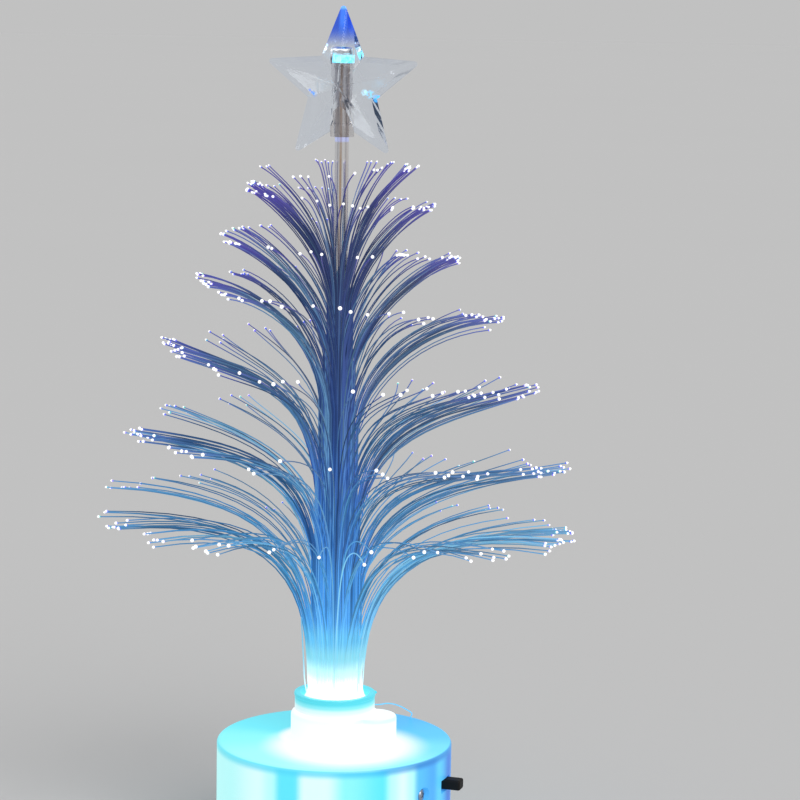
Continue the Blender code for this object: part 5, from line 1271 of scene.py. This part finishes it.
def smooth_through(knots, values, places):
    """A smooth curve through values at knots: between two, the cubic with the mean slopes at both."""
    slopes = np.gradient(values, knots)
    index = np.clip(np.searchsorted(knots, places, "right") - 1, 0, len(knots) - 2)
    width = knots[index + 1] - knots[index]
    t = (places - knots[index]) / width
    first = (2 * t**3 - 3 * t**2 + 1) * values[index] + (t**3 - 2 * t**2 + t) * width * slopes[index]
    return first + (3 * t**2 - 2 * t**3) * values[index + 1] + (t**3 - t**2) * width * slopes[index + 1]


def strand_paths(tier, feet, middles, tips, lifts, rng):
    """Paths of a tier's fibres, as an array of (fibre, point, xyz), from the turns of foot, middle and tip.

    Each fibre climbs in the trunk at its ring, a little drawn in by the glue at its foot. From the start of
    its bend, radius and height follow the CAD tier's cubic curve past two guide points. Its turn follows a
    quadratic curve from the foot over the middle of its clump to the tip.
    """
    count = len(tips)

    def about(scatter):
        """One factor for each fibre, evenly spread about 1."""
        return 1 + scatter * rng.uniform(-1, 1, count)

    side = np.cos(tips)
    ring = (FIRST_RING + tier * RING_STEP) * about(RING_SCATTER)
    reach = FIBRE_REACH * TIP_REACH_SHARES[tier] * (1 + TIP_SHIFT_SHARES[tier] * side) * about(REACH_SCATTER)
    droop = TIP_DROOP_SHARES[tier] * np.maximum(side, 0) ** DROOP_POWER
    rise = (ROD_HIGH.z - SOCKET_HIGH.z) * TIP_HEIGHT_SHARES[tier]
    lift = (lifts + LIFT_SCATTERS[tier] * rng.uniform(-1, 1, count)) * MM
    tip_z = SOCKET_HIGH.z + rise - reach * (TIP_TILT_SHARES[tier] * side + droop) + lift
    climb = rise * (1 - BEND_START_SHARES[tier]) * about(CLIMB_SCATTER)
    start_z = np.maximum(tip_z - climb, GLUE_HIGH.z)
    climb = tip_z - start_z
    span = reach - ring
    first = ring + span * FIRST_REACH_SHARES[tier] * about(GUIDE_SCATTER)
    second = ring + span * SECOND_REACH_SHARES[tier] * about(GUIDE_SCATTER)

    t = np.linspace(0, 1, BEND_STEPS)
    weights = np.stack(((1 - t) ** 3, 3 * (1 - t) ** 2 * t, 3 * (1 - t) * t**2, t**3))
    bend_r = np.stack((ring, first, second, reach), 1) @ weights
    climbs = np.array((0.0, FIRST_CLIMB_SHARES[tier], SECOND_CLIMB_SHARES[tier], 1.0)) @ weights
    bend_z = start_z[:, None] + climb[:, None] * climbs[None, :]
    bend_turn = np.stack((feet, middles, tips), 1) @ np.stack(((1 - t) ** 2, 2 * (1 - t) * t, t**2))

    foot_z = GLUE_LOW.z
    share = np.linspace(0, 1, TRUNK_STEPS, endpoint=False)[None, :]
    trunk_z = foot_z + (start_z[:, None] - foot_z) * share
    trunk_r = ring[:, None] * np.ones_like(share)
    wobble = np.radians(SWAY) * np.sin(share * math.pi) * rng.uniform(-1, 1, (count, 1))
    trunk_turn = feet[:, None] + wobble

    r = np.concatenate((trunk_r, bend_r), 1)
    z = np.concatenate((trunk_z, bend_z), 1)
    turn = np.concatenate((trunk_turn, bend_turn), 1)
    r = r * (GLUE_PINCH + (1 - GLUE_PINCH) * np.clip((z - foot_z) / (PINCH_END - foot_z), 0, 1))
    return np.stack((r * np.cos(turn), r * np.sin(turn), z), -1)


def along_frames(paths):
    """Two directions square to each path at each of its points.

    The tangent is the difference of the neighbours. The first direction is the outward one crossed with Z,
    less its part along the tangent, and the second is the tangent crossed with the first.
    """
    tangent = np.gradient(paths, axis=1)
    tangent /= np.linalg.norm(tangent, axis=-1, keepdims=True)
    end = paths[:, -1:, :] * np.array([1.0, 1.0, 0.0])
    outward = end / np.linalg.norm(end, axis=-1, keepdims=True)
    side = np.cross(np.broadcast_to(outward, tangent.shape), (0.0, 0.0, 1.0))
    side -= tangent * np.sum(side * tangent, -1, keepdims=True)
    side /= np.linalg.norm(side, axis=-1, keepdims=True)
    return side, np.cross(tangent, side)


def tube_points(paths, radii, sides):
    """Rings of points round paths: path plus radius times (cos a u + sin a v), for even angles a."""
    u, v = along_frames(paths)
    turns = np.linspace(0, math.tau, sides, endpoint=False)
    ring = np.cos(turns)[:, None] * u[..., None, :] + np.sin(turns)[:, None] * v[..., None, :]
    return paths[..., None, :] + radii[..., None, None] * ring


def carry(piece, name, values):
    """Write one value per point into the mesh under a name."""
    layer = piece.data.attributes.new(name, "FLOAT", "POINT")
    layer.data.foreach_set("value", np.ascontiguousarray(values, np.float32).ravel())


def tier_turns(tier, rng):
    """Turns of foot, clump and tip, lift and tone of each fibre of a tier, in order round the ring.

    The tips stand in clumps. The feet are spaced evenly round the ring, turned so that they differ least
    from the tips on average.
    """
    rows = []
    for turn, spread, count, lift in CLUMPS[tier]:
        tone = rng.uniform(*TONE_RANGE)
        places = (2 * np.arange(count) + 1) / count - 1
        for tip in turn + spread * places * rng.uniform(*SPREAD_SCATTER, count):
            rows.append((tip, turn, lift, min(1, max(0, tone + rng.uniform(-TONE_SCATTER, TONE_SCATTER)))))
    tips, middles, lifts, tones = np.array(sorted(rows)).T
    step = 360 / len(tips)
    feet = np.mean(tips - step * np.arange(len(tips))) + step * np.arange(len(tips))
    return np.radians(feet), np.radians(middles), np.radians(tips), lifts, tones


def make_tier(tier, strand_finish, tip_finish, rng):
    """One tier: its fibres as one piece that replaces the CAD tier, and the lit tips as another."""
    feet, middles, turns, lifts, tones = tier_turns(tier, rng)
    count = len(turns)
    paths = strand_paths(tier, feet, middles, turns, lifts, rng)
    steps = paths.shape[1]
    radii = np.full(paths.shape[:2], STRAND_RADIUS)
    points = tube_points(paths, radii, STRAND_SIDES)
    strands = solid(f"fibres_{tier + 1}", points, tube_faces(count, steps, STRAND_SIDES))
    along = np.linalg.norm(np.diff(paths, axis=1, prepend=paths[:, :1]), axis=-1).cumsum(1)
    along /= along[:, -1:]
    carry(strands, "along", np.broadcast_to(along[..., None], points.shape[:3]))
    carry(strands, "tone", np.broadcast_to(tones[:, None, None], points.shape[:3]))
    streaks = rng.uniform(0, 1, count)
    carry(strands, "streak", np.broadcast_to(streaks[:, None, None], points.shape[:3]))
    dress(strands, strand_finish)
    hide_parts(f"fibre_tier_{tier + 1}")
    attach(strands, "base")

    heading = paths[:, -1, :] - paths[:, -2, :]
    heading /= np.linalg.norm(heading, axis=-1, keepdims=True)
    places = np.array(TIP_PLACES)
    along_tip = heading[:, None, :] * (places - 0.5)[None, :, None] * TIP_LENGTH
    size = (TIP_RADIUS + TIP_SCATTER * rng.uniform(-1, 1, count)) * TIER_TIP_SHARES[tier]
    front = np.maximum(0, -np.sin(turns)) ** 2
    size = size * (SIDE_TIP_SHARE + (1 - SIDE_TIP_SHARE) * front)
    bead_radii = size[:, None] * np.array(TIP_WIDTHS)[None, :]
    bead_points = tube_points(paths[:, -1:, :] + along_tip, bead_radii, TIP_SIDES)
    tips = solid(f"tips_{tier + 1}", bead_points, tube_faces(count, len(places), TIP_SIDES))
    carry(tips, "along", np.broadcast_to(places[None, :, None], bead_points.shape[:3]))
    hues = rng.uniform(0, 1, count)
    carry(tips, "tone", np.broadcast_to(hues[:, None, None], bead_points.shape[:3]))
    dress(tips, tip_finish)
    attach(tips, "base")


def make_fibres():
    """All seven tiers, with one strand finish and one tip finish."""
    rng = np.random.default_rng(7)
    strand_finish = lit_strand()
    tip_finish = lit_tip()
    for tier in range(len(CLUMPS)):
        make_tier(tier, strand_finish, tip_finish, rng)
    make_strays(strand_finish)


def finish_nodes():
    """Materials of the CAD nodes that stay."""
    cover = moulded("cover_plastic", srgb(214, 226, 230), 0.5)
    black = moulded("black_plastic", srgb(12, 10, 10), 0.55, Specular_IOR_Level=0.25)
    steel = plated("zinc_steel", srgb(196, 198, 202))
    nickel = plated("nickel_plate", srgb(214, 208, 198))
    board = moulded("board_laminate", srgb(176, 132, 78), 0.6)
    lens = moulded("lamp_lens", srgb(225, 250, 255), 0.1)
    resistor = moulded("resistor_coat", srgb(196, 170, 120), 0.5)
    red = moulded("red_sleeve", srgb(190, 24, 24), 0.45)
    blue = moulded("blue_sleeve", srgb(28, 60, 170), 0.45)
    dark = moulded("black_sleeve", srgb(26, 26, 28), 0.45)
    table = {
        "bottom_cover": cover,
        "battery_door": cover,
        "led_board": board,
        "led": lens,
        "resistor": resistor,
        "switch_body": black,
        "switch_lever": black,
        "red_lead": red,
        "blue_lead": blue,
        "black_lead": dark,
        "board_screw": steel,
        "switch_plate": steel,
    }
    for index in (1, 2, 3):
        table[f"button_cell_{index}"] = nickel
        table[f"switch_terminal_{index}"] = nickel
    table["contact_positive"] = nickel
    table["contact_negative"] = nickel
    for name, material in table.items():
        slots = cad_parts[name].material_slots
        for slot in slots:
            slot.material = material


def make_camera():
    """Camera at the photograph's angle: its own right, up and back directions from dip, yaw and roll."""
    dip, yaw, roll = (math.radians(angle) for angle in (CAMERA_DIP, CAMERA_YAW, CAMERA_ROLL))
    ahead = np.array([math.sin(yaw) * math.cos(dip), math.cos(yaw) * math.cos(dip), -math.sin(dip)])
    right = np.array([math.cos(yaw), -math.sin(yaw), 0.0])
    above = np.cross(right, ahead)
    turned_right = right * math.cos(roll) + above * math.sin(roll)
    turned_above = above * math.cos(roll) - right * math.sin(roll)
    lens = bpy.data.cameras.new("camera")
    lens.lens = CAMERA_LENS
    lens.sensor_width = CAMERA_SENSOR
    lens.clip_end = 4 * FLOOR_RADIUS
    camera = bpy.data.objects.new("camera", lens)
    place = np.eye(4)
    place[:3, 0] = turned_right
    place[:3, 1] = turned_above
    place[:3, 2] = -ahead
    place[:3, 3] = (0.0, -CAMERA_DISTANCE, CAMERA_HEIGHT)
    camera.matrix_world = Matrix(place.tolist())
    bpy.context.scene.collection.objects.link(camera)
    bpy.context.scene.camera = camera


def make_room():
    """Pale floor disc, an even sky that shows the backdrop's colour, and one wide soft lamp."""
    turns = np.linspace(0, math.tau, FLOOR_SIDES, endpoint=False)
    circle = FLOOR_RADIUS * np.column_stack((np.cos(turns), np.sin(turns), np.zeros(FLOOR_SIDES)))
    mesh = bpy.data.meshes.new("floor")
    mesh.from_pydata(circle.tolist(), [], [list(range(FLOOR_SIDES))])
    floor = bpy.data.objects.new("floor", mesh)
    bpy.context.scene.collection.objects.link(floor)
    mesh.materials.append(floor_finish("pale_floor", linear(FLOOR_COLOUR)))

    world = bpy.data.worlds.new("sky")
    bpy.context.scene.world = world
    world.use_nodes = True
    tree = world.node_tree
    tree.nodes.clear()
    light = tree.nodes.new("ShaderNodeBackground")
    light.inputs["Color"].default_value = (1.0, 1.0, 1.0, 1.0)
    light.inputs["Strength"].default_value = SKY_STRENGTH
    shown = tree.nodes.new("ShaderNodeBackground")
    shown.inputs["Color"].default_value = (*linear(BACKDROP_COLOUR), 1.0)
    path = tree.nodes.new("ShaderNodeLightPath")
    pick = tree.nodes.new("ShaderNodeMixShader")
    either = tree.nodes.new("ShaderNodeMath")
    either.operation = "MAXIMUM"
    any_of = tree.nodes.new("ShaderNodeMath")
    any_of.operation = "MAXIMUM"
    tree.links.new(path.outputs["Is Camera Ray"], either.inputs[0])
    tree.links.new(path.outputs["Is Glossy Ray"], either.inputs[1])
    tree.links.new(either.outputs[0], any_of.inputs[0])
    tree.links.new(path.outputs["Is Transmission Ray"], any_of.inputs[1])
    tree.links.new(any_of.outputs[0], pick.inputs["Fac"])
    tree.links.new(light.outputs[0], pick.inputs[1])
    tree.links.new(shown.outputs[0], pick.inputs[2])
    output = tree.nodes.new("ShaderNodeOutputWorld")
    tree.links.new(pick.outputs[0], output.inputs["Surface"])

    sun = bpy.data.lights.new("lamp", "SUN")
    sun.energy = LAMP_STRENGTH
    sun.angle = math.radians(LAMP_SPREAD)
    lamp = bpy.data.objects.new("lamp", sun)
    lamp.rotation_euler = [math.radians(angle) for angle in LAMP_TURN]
    bpy.context.scene.collection.objects.link(lamp)
    bpy.context.scene.view_settings.view_transform = "Standard"


make_camera()
make_room()
make_base()
make_ring()
make_glue()
make_rod()
make_star()
make_screws()
make_feet()
make_fibres()
finish_nodes()
